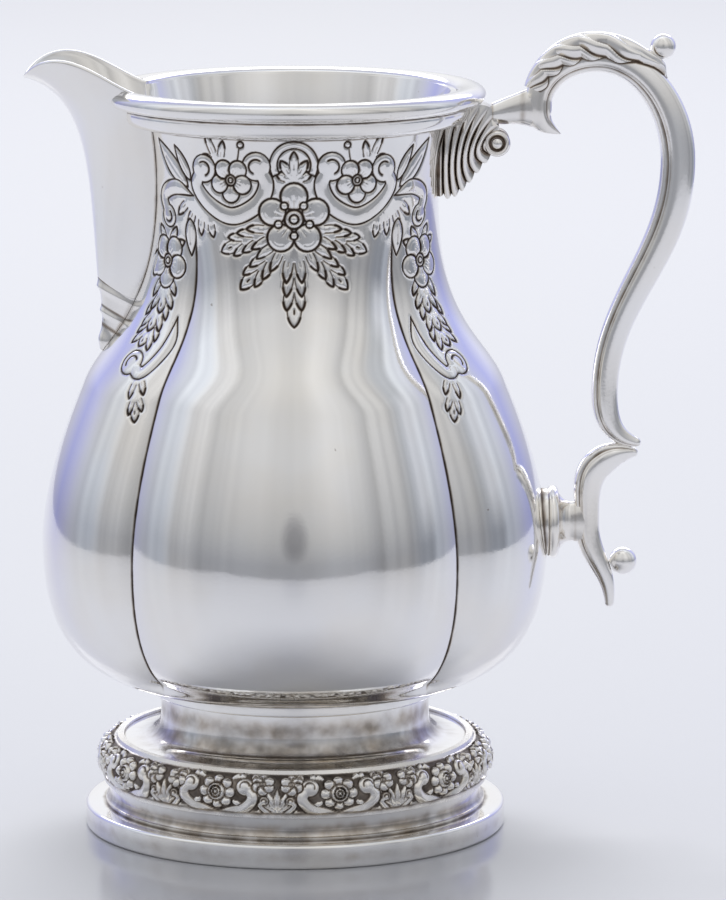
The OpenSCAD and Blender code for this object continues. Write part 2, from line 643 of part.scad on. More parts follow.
body();
rim_moulding();
spout();
spout_drop();
shell_mount();
upper_stem();
handle_scroll();
thumb_leaf();
thumb_bead();
lower_scroll();
lower_bead();
lower_stem();
lower_collar();
foot_collar();
foot_trumpet();
foot_band();
foot_plinth();
foot_ring();
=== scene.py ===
"""Looks of the four-lobed cream jug: fine meshes, silver materials, camera and studio light."""
import math

import bmesh
import bpy
import numpy as np
from mathutils import Euler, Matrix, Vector


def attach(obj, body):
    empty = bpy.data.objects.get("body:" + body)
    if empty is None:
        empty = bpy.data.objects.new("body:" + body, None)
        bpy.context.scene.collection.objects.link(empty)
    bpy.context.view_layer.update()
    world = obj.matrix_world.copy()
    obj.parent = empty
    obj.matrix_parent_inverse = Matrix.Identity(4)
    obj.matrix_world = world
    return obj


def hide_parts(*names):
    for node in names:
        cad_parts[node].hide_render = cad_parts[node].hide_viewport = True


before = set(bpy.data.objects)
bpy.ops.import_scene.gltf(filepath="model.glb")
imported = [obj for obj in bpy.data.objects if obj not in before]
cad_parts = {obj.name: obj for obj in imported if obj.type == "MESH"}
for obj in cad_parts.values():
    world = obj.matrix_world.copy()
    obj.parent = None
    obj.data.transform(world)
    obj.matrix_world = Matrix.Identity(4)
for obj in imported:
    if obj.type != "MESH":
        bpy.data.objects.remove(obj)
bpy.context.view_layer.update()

MM = 0.001
ROUND = 0.5523  # share of the handles of a quarter circle
OUT, IN, UP, DOWN = [1, 0], [-1, 0], [0, 1], [0, -1]  # directions in an upright plane
join = np.concatenate

# Sizes of the CAD model, in millimetres and degrees
PLINTH_Z, BAND_Z, TRUMPET_Z, COLLAR_Z, FLOOR_Z = 3.6, 7.1, 13.8, 20.6, 22.4
BELLY_Z, SHOULDER_Z, NECK_Z, MOUTH_Z, CREST_Z = 43.3, 67.4, 95.1, 111.2, 112.1
BEAD_Z, FASCIA_Z, FASCIA_H, FASCIA_EDGE, FASCIA_OUT = 109.2, 106.5, 2.7, 0.8, 2.4
BASE_R, PLINTH_R, EDGE_R, LIP_R, STEM_R, COLLAR_R = 31.7, 28.7, 26.6, 25.9, 20.2, 21.8
BELLY_R, SHOULDER_R, NECK_R, MOUTH_R, CREST_R, BEAD_R = 38.0, 31.7, 21.6, 24.2, 26.62, 28.6
FOOT_WALL, COVE, BAND_H, BAND_BULGE = 1.0, 0.6, 6.7, 0.9
SHOULDER_LEAN, LOBE_DEPTH, BODY_WALL = 22.0, 4.3, 0.9
SPOUT_ANGLE, SPOUT_DEPTH, SPOUT_BACK, SPOUT_TIP = 25.7, 32.5, 8.6, 13.5
TIP_RISE, LIP_HUMP, SPOUT_WALL, DROP_LEN, SPOUT_FROM = 2.0, 5.1, 0.9, 8.1, 0.05
SCROLL_T, LOWER_T, ASPECT = 2.7, 2.0, 0.86
LEAF_T, LEAF_LOBES, LEAF_FROM, LEAF_TO = 1.64, 6, 1.18, 2.5
SHELL_H, SHELL_FLUTES, SHELL_HALF, VOLUTE_R = 13.4, 7, 4.2, 1.7
STEM_H, STEM_END, STEM_SINK = 3.2, 5.7, 2.9
DISC_D, DISC_T, LOWER_STEM_LEN, LOWER_STEM_H = 11.0, 1.8, 2.6, 6.0
ARCH_GAP, ARCH_DROP, JOINT_RISE = 7.5, 3.1, 23.6

# Places that follow from them
FASCIA_R, TAIL_Z, JOINT_Z = MOUTH_R + FASCIA_OUT, MOUTH_Z - SPOUT_DEPTH, FLOOR_Z + JOINT_RISE
FRONT_P = np.array([CREST_R + ARCH_GAP + SCROLL_T * 0.8, CREST_Z - ARCH_DROP])
STEM_FROM, STEM_LOW = BEAD_R + 0.8, FRONT_P[1] - STEM_SINK


def unit(n):
    """n even steps from 0 to 1."""
    return np.linspace(0, 1, n)


def mix(a, b, t):
    return a + (b - a) * t


def ease(a, b, x):
    """Smooth step from 0 at a to 1 at b."""
    t = np.clip((np.asarray(x, float) - a) / (b - a), 0, 1)
    return t * t * (3 - 2 * t)


def bump(x, middle, width):
    """Smooth hill of height 1."""
    return np.exp(-(((np.asarray(x, float) - middle) / width) ** 2))


def hills(x, *rows):
    """Sum of smooth hills, each given by its middle, width and height."""
    return sum(height * bump(x, middle, width) for middle, width, height in rows)


def bez(p, t):
    """Points of a cubic curve."""
    p, t = np.asarray(p, float), np.asarray(t, float)[..., None]
    return (1 - t) ** 3 * p[0] + 3 * (1 - t) ** 2 * t * p[1] + 3 * (1 - t) * t * t * p[2] + t**3 * p[3]


def bez_dir(p, t):
    """Directions of a cubic curve."""
    p, t = np.asarray(p, float), np.asarray(t, float)[..., None]
    d = (1 - t) ** 2 * (p[1] - p[0]) + 2 * (1 - t) * t * (p[2] - p[1]) + t * t * (p[3] - p[2])
    return d / np.linalg.norm(d, axis=-1, keepdims=True)


def turn(p, dp, q, dq, k=ROUND):
    """Cubic curve from p along dp to q along dq, with handles of share k."""
    p, dp, q, dq = (np.array(a, float) for a in (p, dp, q, dq))
    return np.array([p, p + dp * abs((q - p) @ dp) * k, q - dq * abs((q - p) @ dq) * k, q])


def through(shares, *knots):
    """Cubic curves through knots, each a point and its direction, with the shares of their handles."""
    return [turn(*a, *b, k) for a, b, k in zip(knots, knots[1:], shares)]


def around(r, a, z):
    """Points at radius r, angle a in radians and height z."""
    return np.stack(np.broadcast_arrays(r * np.cos(a), r * np.sin(a), z), -1)


def ring(n, half_step=False):
    """Angles of n equal steps all round, in radians."""
    return np.linspace(0, 2 * math.pi, n, endpoint=False) + half_step * math.pi / n


# Outline of the body over its lobes
LEAN = np.array([-math.sin(math.radians(SHOULDER_LEAN)), math.cos(math.radians(SHOULDER_LEAN))])
SHOULDER = np.array([SHOULDER_R, SHOULDER_Z])
BOWL = turn([COLLAR_R, FLOOR_Z], OUT, [BELLY_R, BELLY_Z], UP, 0.66)
FLANK = [[BELLY_R, BELLY_Z], [BELLY_R, mix(BELLY_Z, SHOULDER_Z, 0.4)],
         SHOULDER - 0.166 * (SHOULDER_Z - BELLY_Z) * LEAN, SHOULDER]
NECK = [SHOULDER, SHOULDER + 0.264 * (NECK_Z - SHOULDER_Z) * LEAN,
        [NECK_R, mix(NECK_Z, SHOULDER_Z, 0.68)], [NECK_R, NECK_Z]]
FLARE = [[NECK_R, NECK_Z], [NECK_R, mix(NECK_Z, MOUTH_Z, 0.5)],
         [mix(NECK_R, MOUTH_R, 0.5), mix(MOUTH_Z, NECK_Z, 0.25)], [MOUTH_R, MOUTH_Z]]
PROFILE = join([bez(c, unit(900)) for c in (BOWL, FLANK, NECK, FLARE)])


def crown(z):
    """Radius over the lobes at height z."""
    return np.interp(z, PROFILE[:, 1], PROFILE[:, 0])


def crease(z):
    """Share of the crease depth left at height z."""
    low = ease(FLOOR_Z, mix(FLOOR_Z, BELLY_Z, 0.14), z)
    return low * (1 - ease(mix(NECK_Z, SHOULDER_Z, 0.54), mix(NECK_Z, MOUTH_Z, 0.5), z))


def lobed(r, th, z):
    """Radius at th degrees of a lobed section of crown radius r at height z."""
    a = np.radians(np.abs((np.asarray(th) + 405) % 90 - 45))
    q = 1 - LOBE_DEPTH / BELLY_R * crease(z)
    c = (1 - q * q) / (2 - math.sqrt(2) * q)
    return r * (c * np.cos(a) + np.sqrt((1 - c) ** 2 - (c * np.sin(a)) ** 2))


def body_r(th, z):
    return lobed(crown(z), th, z)


JOINT_X = float(body_r(0, JOINT_Z))
FASCIA_LOW_R = float(crown(FASCIA_Z)) + FASCIA_EDGE


def put(name, data):
    """New object in the scene."""
    ob = bpy.data.objects.new(name, data)
    bpy.context.scene.collection.objects.link(ob)
    return ob


class Build:
    """Collects points, faces and for each point a darkening value: tarnish in hollows and joints, and in
    places painted shade.
    """

    def __init__(self):
        self.co, self.patina, self.faces, self.count = [], [], [], 0

    def points(self, co, patina=0.0):
        co = np.asarray(co, float).reshape(-1, 3)
        first, self.count = self.count, self.count + len(co)
        self.co.append(co)
        self.patina.append(np.broadcast_to(np.asarray(patina, float).ravel(), (len(co),)))
        return first

    def grid(self, co, patina=0.0, wrap=False, close=False):
        """Quads over an n by m grid; wrap joins its last row to its first, close its last column."""
        n, m = co.shape[:2]
        first = self.points(co, patina)
        i = np.arange(n if wrap else n - 1)[:, None]
        j = np.arange(m if close else m - 1)[None]
        quads = [i * m + j, (i + 1) % n * m + j, (i + 1) % n * m + (j + 1) % m, i * m + (j + 1) % m]
        self.faces += (np.stack(quads, -1).reshape(-1, 4) + first).tolist()
        return first

    def fan(self, loop, middle):
        """Closes a loop of point numbers to one middle point."""
        centre = self.points([middle])
        self.faces += [[loop[i - 1], loop[i], centre] for i in range(len(loop))]

    def disc(self, co, patina, middles):
        """Grid that wraps round, its first and last columns closed to two middle points."""
        n, m = co.shape[:2]
        first = self.grid(co, np.tile(patina, (n, 1)), wrap=True)
        for column, middle in zip((0, m - 1), middles):
            self.fan([first + k * m + column for k in range(n)], middle)

    def strip(self, loop):
        """Closes a loop whose point i faces point n-1-i."""
        n = len(loop)
        self.faces += [[loop[i], loop[i + 1], loop[n - 2 - i], loop[n - 1 - i]] for i in range(n // 2 - 1)]

    def loft(self, loops, patina=0.0):
        """Solid through closed loops, capped by strips."""
        loops = np.asarray(loops, float)
        n, m = loops.shape[:2]
        first = self.grid(loops, patina, close=True)
        self.strip(range(first, first + m))
        self.strip(range(first + (n - 1) * m, first + n * m))

    def piece(self, name, node, finish, sharp=38.0):
        """Makes the Blender object, rides it on the jug and hides its CAD node."""
        material, slot = finish
        mesh = bpy.data.meshes.new(name)
        mesh.from_pydata((join(self.co) * MM).tolist(), [], self.faces)
        values = mesh.attributes.new("patina", "FLOAT", "POINT")
        values.data.foreach_set("value", np.clip(join(self.patina), 0, 1).astype(np.float32))
        bm = bmesh.new()
        bm.from_mesh(mesh)
        bmesh.ops.recalc_face_normals(bm, faces=bm.faces)
        bm.to_mesh(mesh)
        bm.free()
        mesh.polygons.foreach_set("use_smooth", np.ones(len(mesh.polygons), bool))
        mesh.set_sharp_from_angle(angle=math.radians(sharp))
        mesh.materials.append(material)
        ob = put(name, mesh)
        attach(ob, "root")
        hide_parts(node)


def lofted(name, node, finish, loops, patina=0.0):
    build = Build()
    build.loft(loops, np.array(patina))
    build.piece(name, node, finish)


class Field:
    """Relief drawn on a grid of angle by height; each shape covers what was drawn before it."""

    def __init__(self, phi, radius, arc):
        self.phi, self.radius, self.arc = phi, radius, arc
        self.lift, self.cut, self.cover = np.zeros((3, len(phi), len(arc)))

    def window(self, at, pts, pad):
        """Part of the grid round pts and its places in millimetres from the point at."""
        lo, hi = pts.min(0) - pad, pts.max(0) + pad
        j = slice(*np.searchsorted(self.arc, [at[1] + lo[1], at[1] + hi[1]]))
        small = self.radius[j].min(initial=BELLY_R)
        i = slice(*np.searchsorted(self.phi, [at[0] + lo[0] / small, at[0] + hi[0] / small]))
        x = (self.phi[i, None] - at[0]) * self.radius[None, j]
        return i, j, x, np.broadcast_to(self.arc[None, j] - at[1], x.shape)

    @staticmethod
    def measure(x, y, pts, closed):
        """Distance to the line through pts, less than 0 inside a closed one."""
        near, inside = np.full(x.shape, 1e9), np.zeros(x.shape, bool)
        ends = np.roll(pts, -1, 0) if closed else pts[1:]
        for (ax, ay), (bx, by) in zip(pts, ends):
            dx, dy = bx - ax, by - ay
            t = np.clip(((x - ax) * dx + (y - ay) * dy) / max(dx * dx + dy * dy, 1e-12), 0, 1)
            near = np.minimum(near, (x - ax - t * dx) ** 2 + (y - ay - t * dy) ** 2)
            if closed and ay != by:
                inside ^= ((ay > y) != (by > y)) & (x < ax + (y - ay) / (by - ay) * dx)
        return np.where(inside, -1, 1) * np.sqrt(near)

    def shape(self, at, outlines, lift=0.1, line=0.2, soft=0.5, dark=1.0):
        """Closed outlines joined to one shape, raised inside and cut along its edge."""
        i, j, x, y = self.window(at, join(outlines), 3 * line)
        far = np.min([self.measure(x, y, o, True) for o in outlines], 0)
        inside = far < 0
        rise = lift * (1 - bump(far, 0, soft))
        self.lift[i, j] = np.where(inside, rise, self.lift[i, j])
        self.cover[i, j] = np.maximum(self.cover[i, j], inside)
        edge = dark * bump(far, 0, line)
        self.cut[i, j] = np.where(inside, edge, np.maximum(self.cut[i, j], edge))

    def line(self, at, pts, line=0.16, dark=0.8):
        """An open engraved line."""
        i, j, x, y = self.window(at, pts, 3 * line)
        edge = dark * bump(self.measure(x, y, pts, False), 0, line)
        self.cut[i, j] = np.maximum(self.cut[i, j], edge)


SPINE = 22  # points along a lobe or leaf, whose outline then has twice as many


def curl(x, y, heading, length, bend, n=SPINE):
    """Line from (x, y) along heading that bends by so many degrees per millimetre."""
    s = np.linspace(0, length, n)
    a = np.radians(heading + bend * s)
    d = np.stack([np.cos(a), np.sin(a)], -1)
    return np.array([x, y]) + join([[[0, 0]], np.cumsum((d[1:] + d[:-1]) / 2 * s[1], 0)])


def smooth(pts, n=60):
    """Smooth line through pts."""
    pts = np.array(pts, float)
    t = np.linspace(0, len(pts) - 1, n)
    k = np.minimum(t.astype(int), len(pts) - 2)
    f = (t - k)[:, None]
    ends = join([[2 * pts[0] - pts[1]], pts, [2 * pts[-1] - pts[-2]]])
    a, b, c, d = (ends[k + i] for i in range(4))
    return b + 0.5 * f * (c - a + f * (2 * a - 5 * b + 4 * c - d + f * (3 * b - a - 3 * c + d)))


def ribbon(spine, half):
    """Closed outline of half-breadth half round a spine."""
    d = np.gradient(spine, axis=0)
    d /= np.linalg.norm(d, axis=1, keepdims=True)
    side = np.stack([-d[:, 1], d[:, 0]], -1) * np.broadcast_to(half, len(spine))[:, None]
    return join([spine + side, (spine - side)[::-1]])


def arc(x, y, r, first=0.0, last=342.0, n=20):
    """Points on a circle, by default all round it for a closed outline."""
    a = np.radians(np.linspace(first, last, n))
    return np.stack([x + r * np.cos(a), y + r * np.sin(a)], -1)


def lobe(field, at, x, y, heading, length, width, bend=0.0, lift=0.1, line=0.22, dot=False):
    """A lobe that widens to a blunt point, open at its root, with a heavy stroke round its tip."""
    s = unit(SPINE)
    spine = curl(x, y, heading, length, bend)
    edge = ribbon(spine, width * 0.64 * s**0.6 * (1 - s**3) ** 0.85)
    field.shape(at, [edge], lift, line, dark=0.0)
    field.line(at, edge[9:35], line * 0.75, 0.85)
    field.line(at, edge[16:28], line * 1.25, 1.0)
    if dot:
        field.line(at, spine[12:15], line, 0.9)
    else:
        field.line(at, spine[9:13], line * 0.6, 0.6)


def leaf(field, at, x, y, heading, length, width, bend=0.0, lift=0.12, line=0.22):
    """A pointed leaf with a midrib."""
    s = unit(SPINE)
    spine = curl(x, y, heading, length, bend)
    field.shape(at, [ribbon(spine, width / 2 * np.sin(math.pi * s**0.8) ** 0.85)], lift, line)
    field.line(at, spine[3:15], line * 0.7, 0.55)


def sprig(field, at, x, y, heading, length, pairs, size, bend=0.0, spread=36.0):
    """A leaf of paired lobes along a bent rib, with a dotted lobe at its end."""
    steps = 40
    spine = curl(x, y, heading, length, bend, steps + 1)
    middle = spine[steps // 2]
    lobe(field, at, *middle, heading + bend * length * 0.5, length * 0.5, size * 0.5, bend, dot=True)
    for k in range(pairs - 1, -1, -1):
        share = 0.42 * k / max(1, pairs - 1)
        here = heading + bend * length * share
        root = spine[int(steps * share)]
        for side in (1, -1):
            lobe(field, at, *root, here + side * spread, size * (1 - 0.3 * share), size * 0.34, -side * 4.0)


def flower(field, at, x, y, petal, out, first, beads, lift=0.16, line=0.22, petals=5):
    """Round petals set apart, beads between them where there is room, and a middle bead in a ring."""
    for k in range(petals):
        a = math.radians(first + 360 * k / petals)
        px, py = x + out * math.cos(a), y + out * math.sin(a)
        field.shape(at, [arc(px, py, petal)], lift, line, 0.6)
        turned = math.degrees(a)
        field.line(at, arc(px, py, petal * 0.58, turned - 60, turned + 60), line * 0.5, 0.3)
        for off in (-0.3, 0.0, 0.3):
            d = np.array([math.cos(a + off), math.sin(a + off)])
            field.line(at, np.array([x, y]) + np.outer([0.5 * out, 0.86 * out], d), line * 0.55, 0.5)
    for k in range(beads):
        a = math.radians(first + 360 * (k + 0.5) / beads)
        bx, by = x + 0.72 * out * math.cos(a), y + 0.72 * out * math.sin(a)
        field.shape(at, [arc(bx, by, 0.17 * out)], lift, line * 0.8, 0.25)
    field.shape(at, [arc(x, y, 0.42 * out)], lift * 0.4, line * 1.1, 0.3)
    field.shape(at, [arc(x, y, 0.2 * out)], lift * 1.2, line * 0.9, 0.25)


def c_scroll(field, at, pts, half, eyes, side=1, lift=0.16, line=0.19):
    """A broad ribbon through pts that rolls up into a round eye at each end that has a radius."""
    spine = smooth(pts)
    s = unit(len(spine))
    tip = (1 if eyes[0] else ease(0, 0.3, s) ** 0.6) * (1 if eyes[1] else ease(1, 0.7, s) ** 0.6)
    outlines = [ribbon(spine, half * (0.7 + 0.3 * np.sin(math.pi * s) ** 0.7) * tip + 0.02)]
    outlines += [arc(*end, r) for end, r in zip((spine[0], spine[-1]), eyes) if r]
    field.shape(at, outlines, lift, line, 0.7)
    for end, way, r, hand in ((spine[0], spine[3] - spine[0], eyes[0], side),
                              (spine[-1], spine[-4] - spine[-1], eyes[1], -side)):
        if r:
            a = math.degrees(math.atan2(way[1], way[0]))
            field.line(at, arc(*end, r * 0.5, a + hand * 60, a + hand * 250), line * 1.2, 1.0)


# Chased work of one quarter of the body, mirrored to the other three
COLS, BOWL_ROWS, UP_ROWS, COARSE = 1024, 160, 424, 4
UP_Z = np.linspace(BELLY_Z, MOUTH_Z, UP_ROWS + 1)
UP_R = crown(UP_Z)
UP_ARC = join([[0], np.cumsum(np.hypot(np.diff(UP_R), np.diff(UP_Z)))])


def chase():
    """Relief of the quarter; numbers after a place are millimetres from it, headings are degrees."""
    field = Field(np.radians(np.linspace(0, 90, COLS // 4 + 1)), UP_R, UP_ARC)

    def at(deg, z):
        return math.radians(deg), float(np.interp(z, UP_Z, UP_ARC))

    mid = at(0, 94.7)
    # Sprays under and beside the middle flower
    sprig(field, mid, 0.0, -4.0, -90, 11.8, 3, 5.4, 0.0, 23)
    sprig(field, mid, 1.6, -3.2, -50, 9.8, 3, 4.8, 0.5, 26)
    sprig(field, mid, 2.6, -1.8, -16, 9.6, 3, 4.6, -1.0, 28)
    # Palmette under an arch over it
    for heading, length in ((24, 2.8), (57, 3.6), (90, 4.4)):
        lobe(field, mid, 0.0, 5.6, heading, length, 1.7)
    field.shape(mid, [ribbon(arc(0, 8.0, 3.0, 104, -30), 0.55)], 0.14)
    # Leaves behind the scrolls
    leaf(field, mid, 17.6, 4.0, 40, 9.6, 2.7, 0.8)
    leaf(field, mid, 17.0, 5.0, 62, 6.0, 1.7, -1.5)
    for x, y, heading, length in ((16.8, 2.2, -24, 4.4), (16.0, 1.4, -46, 4.2), (14.8, 0.6, -66, 3.8),
                                  (13.4, 0.0, -88, 3.2)):
        lobe(field, mid, x, y, heading, length, 1.7, -6.0)
    leaf(field, mid, 17.8, -0.8, -82, 5.6, 2.1, -1.0)
    for heading, length in ((30, 3.4), (98, 4.0), (64, 5.6)):
        lobe(field, mid, 11.4, 7.4, heading, length, 1.5)
    field.line(mid, curl(8.6, 8.0, 104, 2.6, -4.0), 0.2, 0.9)
    field.shape(mid, [arc(8.0, 10.9, 0.5)], 0.14)
    # Broad scrolls with their flowers
    c_scroll(field, mid, [(16.6, 2.7), (20.4, 3.7), (23.8, 2.2), (22.8, -0.8)], 1.15, (0, 1.7), -1)
    c_scroll(field, mid, [(5.6, 7.7), (4.1, 5.2), (5.5, 2.1), (9.4, 0.2), (13.4, 1.7), (15.7, 4.5),
                          (14.2, 7.0)], 1.25, (2.15, 2.1))
    flower(field, mid, 9.6, 5.5, 1.4, 1.95, -90, 0)
    flower(field, mid, 0.0, 0.0, 2.0, 3.35, 90, 5, line=0.26)
    # Pendants beyond the creases
    sprig(field, at(55.6, 71.0), 0.0, 0.0, -108, 7.8, 2, 4.0, 0.0, 28)
    for deg, z, heading, length in ((59.8, 79.2, -80, 5.4), (60.2, 82.3, -86, 6.0), (60.6, 85.6, -96, 6.4)):
        sprig(field, at(deg, z), 0.6, 0.0, heading, length, 2, 4.6, 0.0, 44)
    for heading in (22, 58, 122, 158):
        lobe(field, at(61.5, 88.8), 0.0, 0.0, heading, 4.2, 1.8)
    flower(field, at(61.2, 87.2), 0.0, 0.0, 1.75, 2.4, -90, 0)
    c_scroll(field, at(57.4, 72.8), [(-2.8, 7.6), (-3.2, 2.6), (-1.0, -1.9), (2.2, -0.5)], 1.1, (0, 2.1))
    return field


class Nodes:
    """Makes and links the nodes of one tree."""

    def __init__(self, tree):
        self.tree = tree

    def add(self, kind, inputs, out=0, **settings):
        """Output of a new node, each of its inputs a value or the output of another node."""
        node = self.tree.nodes.new("ShaderNode" + kind)
        for name, value in settings.items():
            setattr(node, name, value)
        for key, value in inputs.items():
            self.feed(node.inputs[key], value)
        return node.outputs[out]

    def feed(self, socket, value):
        if isinstance(value, bpy.types.NodeSocket):
            self.tree.links.new(value, socket)
        else:
            socket.default_value = value

    def math(self, kind, *values):
        return self.add("Math", dict(enumerate(values)), operation=kind)

    def mix(self, kind, factor, a, b):
        sockets = {"Factor": factor, "A": a, "B": b}
        return self.add("Mix", sockets, "Result", data_type="RGBA", blend_type=kind)

    def length(self, x, y):
        return self.math("SQRT", self.math("MULTIPLY_ADD", x, x, self.math("MULTIPLY", y, y)))

    def span(self, value, low, high, to_low=0.0, to_high=1.0):
        """Smooth step from to_low at low to to_high at high."""
        sockets = {"Value": value, "From Min": low, "From Max": high, "To Min": to_low, "To Max": to_high}
        return self.add("MapRange", sockets, interpolation_type="SMOOTHSTEP")

    def ramp(self, value, stops, low=0.0, high=1.0):
        """Colours by value, the stops in rising order between low and high."""
        if (low, high) != (0.0, 1.0):
            value = self.add("MapRange", {"Value": value, "From Min": low, "From Max": high})
        colour = self.add("ValToRGB", {"Fac": value}, "Color")
        elements = colour.node.color_ramp.elements
        for element, (at, shade) in zip(elements, (stops[0], stops[-1])):
            element.position, element.color = (at - low) / (high - low), (*shade, 1)
        for at, shade in stops[1:-1]:
            elements.new((at - low) / (high - low)).color = (*shade, 1)
        return colour


# Silver with brown stain and dark tarnish in its hollows; its stain and tarnish colours also carry painted
# shade and painted dark reflections
SILVER, DARK = (0.93, 0.925, 0.915), (0.030, 0.021, 0.016)
WARM, STAIN, FAINT_STAIN, PALE_TARNISH = (0.985, 0.96, 0.915), (0.55, 0.47, 0.38), (0.75,) * 3, (2.4,) * 3
RINGS_OF_STAIN_AND_SHADE = (  # rings of the turned pieces: radius, height, width and depth of their darkening, stained joints and the painted dark reflections marked below
    # joint of plinth and ring; brown stain with painted dark reflection round the plinth's cove; painted
    # dark reflection on the base ring
    (PLINTH_R, PLINTH_Z, 1.0, 0.55), (PLINTH_R - 0.5, 4.8, 2.6, 0.5), (BASE_R, PLINTH_Z / 2, 2.0, 0.24),
    (PLINTH_R + 0.1, BAND_Z, 0.8, 0.8), (LIP_R + 0.2, TRUMPET_Z - 0.3, 0.8, 0.8),
    # broad brown ring at the trumpet's foot; brown stain with painted dark reflection up the trumpet's flare
    # and stem
    (LIP_R - 2.5, TRUMPET_Z - 0.3, 3.4, 0.2), (STEM_R + 1.0, TRUMPET_Z + 1.4, 3.4, 0.56),
    (STEM_R, COLLAR_Z - 2.5, 3.4, 0.45), (STEM_R, COLLAR_Z, 0.5, 0.8), (COLLAR_R, FLOOR_Z, 0.5, 0.8),
    (FASCIA_LOW_R, FASCIA_Z, 0.5, 0.8), (FASCIA_R, BEAD_Z - 0.1, 0.45, 0.75))


def silver(name, tint, rough, dark, grain, stain_and_shade_rings=()):
    mat = bpy.data.materials.new(name)
    mat.use_nodes = True
    make = Nodes(mat.node_tree)
    where = make.add("TexCoord", {}, "Object")

    def noise(scale, detail, roughness=0.5):
        sockets = {"Vector": where, "Scale": scale, "Detail": detail, "Roughness": roughness}
        return make.add("TexNoise", sockets, "Fac")

    def times(colour, shares):
        return [c * k for c, k in zip(colour, shares)]

    # Patina and painted shade of the mesh, rings of stain and of painted dark reflection, and fine pits,
    # with an uneven edge
    dirt_and_shade = make.add("Attribute", {}, "Fac", attribute_name="patina")
    if stain_and_shade_rings:
        x, y, z = make.add("SeparateXYZ", {"Vector": where}).node.outputs
        radius = make.length(x, y)
        for at_r, at_z, width, depth in stain_and_shade_rings:
            away = make.length(make.math("SUBTRACT", radius, at_r * MM), make.math("SUBTRACT", z, at_z * MM))
            dirt_and_shade = make.math("MAXIMUM", dirt_and_shade, make.span(away, 0.0, width * MM, depth, 0.0))
    dirt_and_shade = make.math("MAXIMUM", dirt_and_shade, make.span(noise(900.0, 1.0), 0.78, 0.84, 0.0, 0.4))
    reach = make.math("MULTIPLY_ADD", noise(420.0, 2.0), 0.4, dirt_and_shade)
    spread = make.span(reach, 0.5, 1.05)
    # Clean metal, stain and tarnish, each with its own slow change of colour; painted shade and painted dark
    # reflections show in the stain and tarnish colours
    metal = make.ramp(noise(60.0, 4.0), [(0.40, tint), (0.72, times(tint, WARM))])
    stain = make.ramp(noise(240.0, 3.0), [(0.3, times(tint, STAIN)), (0.8, times(tint, FAINT_STAIN))])
    tarnish = make.ramp(noise(900.0, 3.0), [(0.3, dark), (0.8, times(dark, PALE_TARNISH))])
    stained_and_shaded = make.mix("MIX", make.span(reach, 0.3, 0.75), metal, stain)
    gloss = make.span(noise(160.0, 6.0, 0.65), 0.3, 0.75, rough, rough * 1.7)
    height = {"Strength": grain, "Distance": 0.0002, "Height": noise(1800.0, 5.0, 0.6)}
    shader = mat.node_tree.nodes["Principled BSDF"].inputs
    shader["Metallic"].default_value = 1.0
    make.feed(shader["Base Color"], make.mix("MIX", spread, stained_and_shaded, tarnish))
    make.feed(shader["Roughness"], make.math("MULTIPLY_ADD", spread, 0.35, gloss))
    make.feed(shader["Normal"], make.add("Bump", height, "Normal"))
    return mat


# Finishes: a material and the record's slot that it belongs to
POLISHED = silver("polished_silver", SILVER, 0.06, DARK, 0.03), "polished_silver"
TURNED = silver("turned_silver", SILVER, 0.06, DARK, 0.03, RINGS_OF_STAIN_AND_SHADE), "polished_silver"
CHASED = silver("chased_silver", SILVER, 0.06, DARK, 0.025), "chased_silver"
RELIEF = silver("relief_silver", (0.92, 0.905, 0.88), 0.2, (0.07, 0.055, 0.045), 0.08), "relief_silver"
CAST = silver("cast_silver", (0.97, 0.96, 0.945), 0.1, (0.09, 0.065, 0.048), 0.06), "cast_silver"

# Body with the chased work, open under the spout
NOTCH_ANGLE, NOTCH_Z = SPOUT_ANGLE - 4, TAIL_Z + 7
FREE_Z = NOTCH_Z - 5  # the rows above it lean to the edge of the notch
LINE_CUT = 0.14
SKIN = 0.9985  # keeps the round body inside the box of its faceted CAD node


def top_z(th):
    a = (180 - np.abs(th)) / NOTCH_ANGLE
    return np.where(a < 1, mix(NOTCH_Z, MOUTH_Z, a * a), MOUTH_Z)


def body_joints(th, z, r):
    """Patina along the creases and where other pieces are soldered on."""
    off = np.radians(np.abs((th + 360) % 90 - 45)) * r
    line = 0.9 * bump(off, 0, 0.3) * ease(FLOOR_Z + 0.5, FLOOR_Z + 4, z) * (1 - ease(88, 95, z))
    v = np.clip((z - TAIL_Z) / SPOUT_DEPTH, 0, 1)
    side = np.radians(180 - np.abs(th) - SPOUT_ANGLE * np.sqrt(v)) * r
    line = np.maximum(line, 0.55 * bump(side, 0.1, 0.25) * (z > TAIL_Z + 3) * (z < FASCIA_Z))
    line = np.maximum(line, hills(z, (FASCIA_Z - 0.1, 0.25, 0.8), (FLOOR_Z, 0.4, 0.6)))
    disc = np.hypot(r * np.sin(np.radians(th)), z - JOINT_Z) - DISC_D / 2
    return np.maximum(line, 0.8 * bump(disc, 0, 0.35) * (np.abs(th) < 45))


def cells(busy):
    """Coarse square cells of a grid that wraps round, quartered as long as they hold something busy."""
    cols, rows = busy.shape
    found, size = [], COARSE
    keep = np.ones((cols // size, (rows - 1) // size), bool)
    while size >= 1:
        i, j = np.nonzero(keep)
        step = np.arange(size + 1)
        hot = busy[(i[:, None, None] * size + step[:, None]) % cols, j[:, None, None] * size + step]
        hot = hot.any((1, 2)) & (size > 1)
        found.append((size, i[~hot] * size, j[~hot] * size))
        if hot.any():
            keep = np.zeros((cols * 2 // size, (rows - 1) * 2 // size), bool)
            for di, dj in ((0, 0), (0, 1), (1, 0), (1, 1)):
                keep[i[hot] * 2 + di, j[hot] * 2 + dj] = True
        size //= 2
    return found


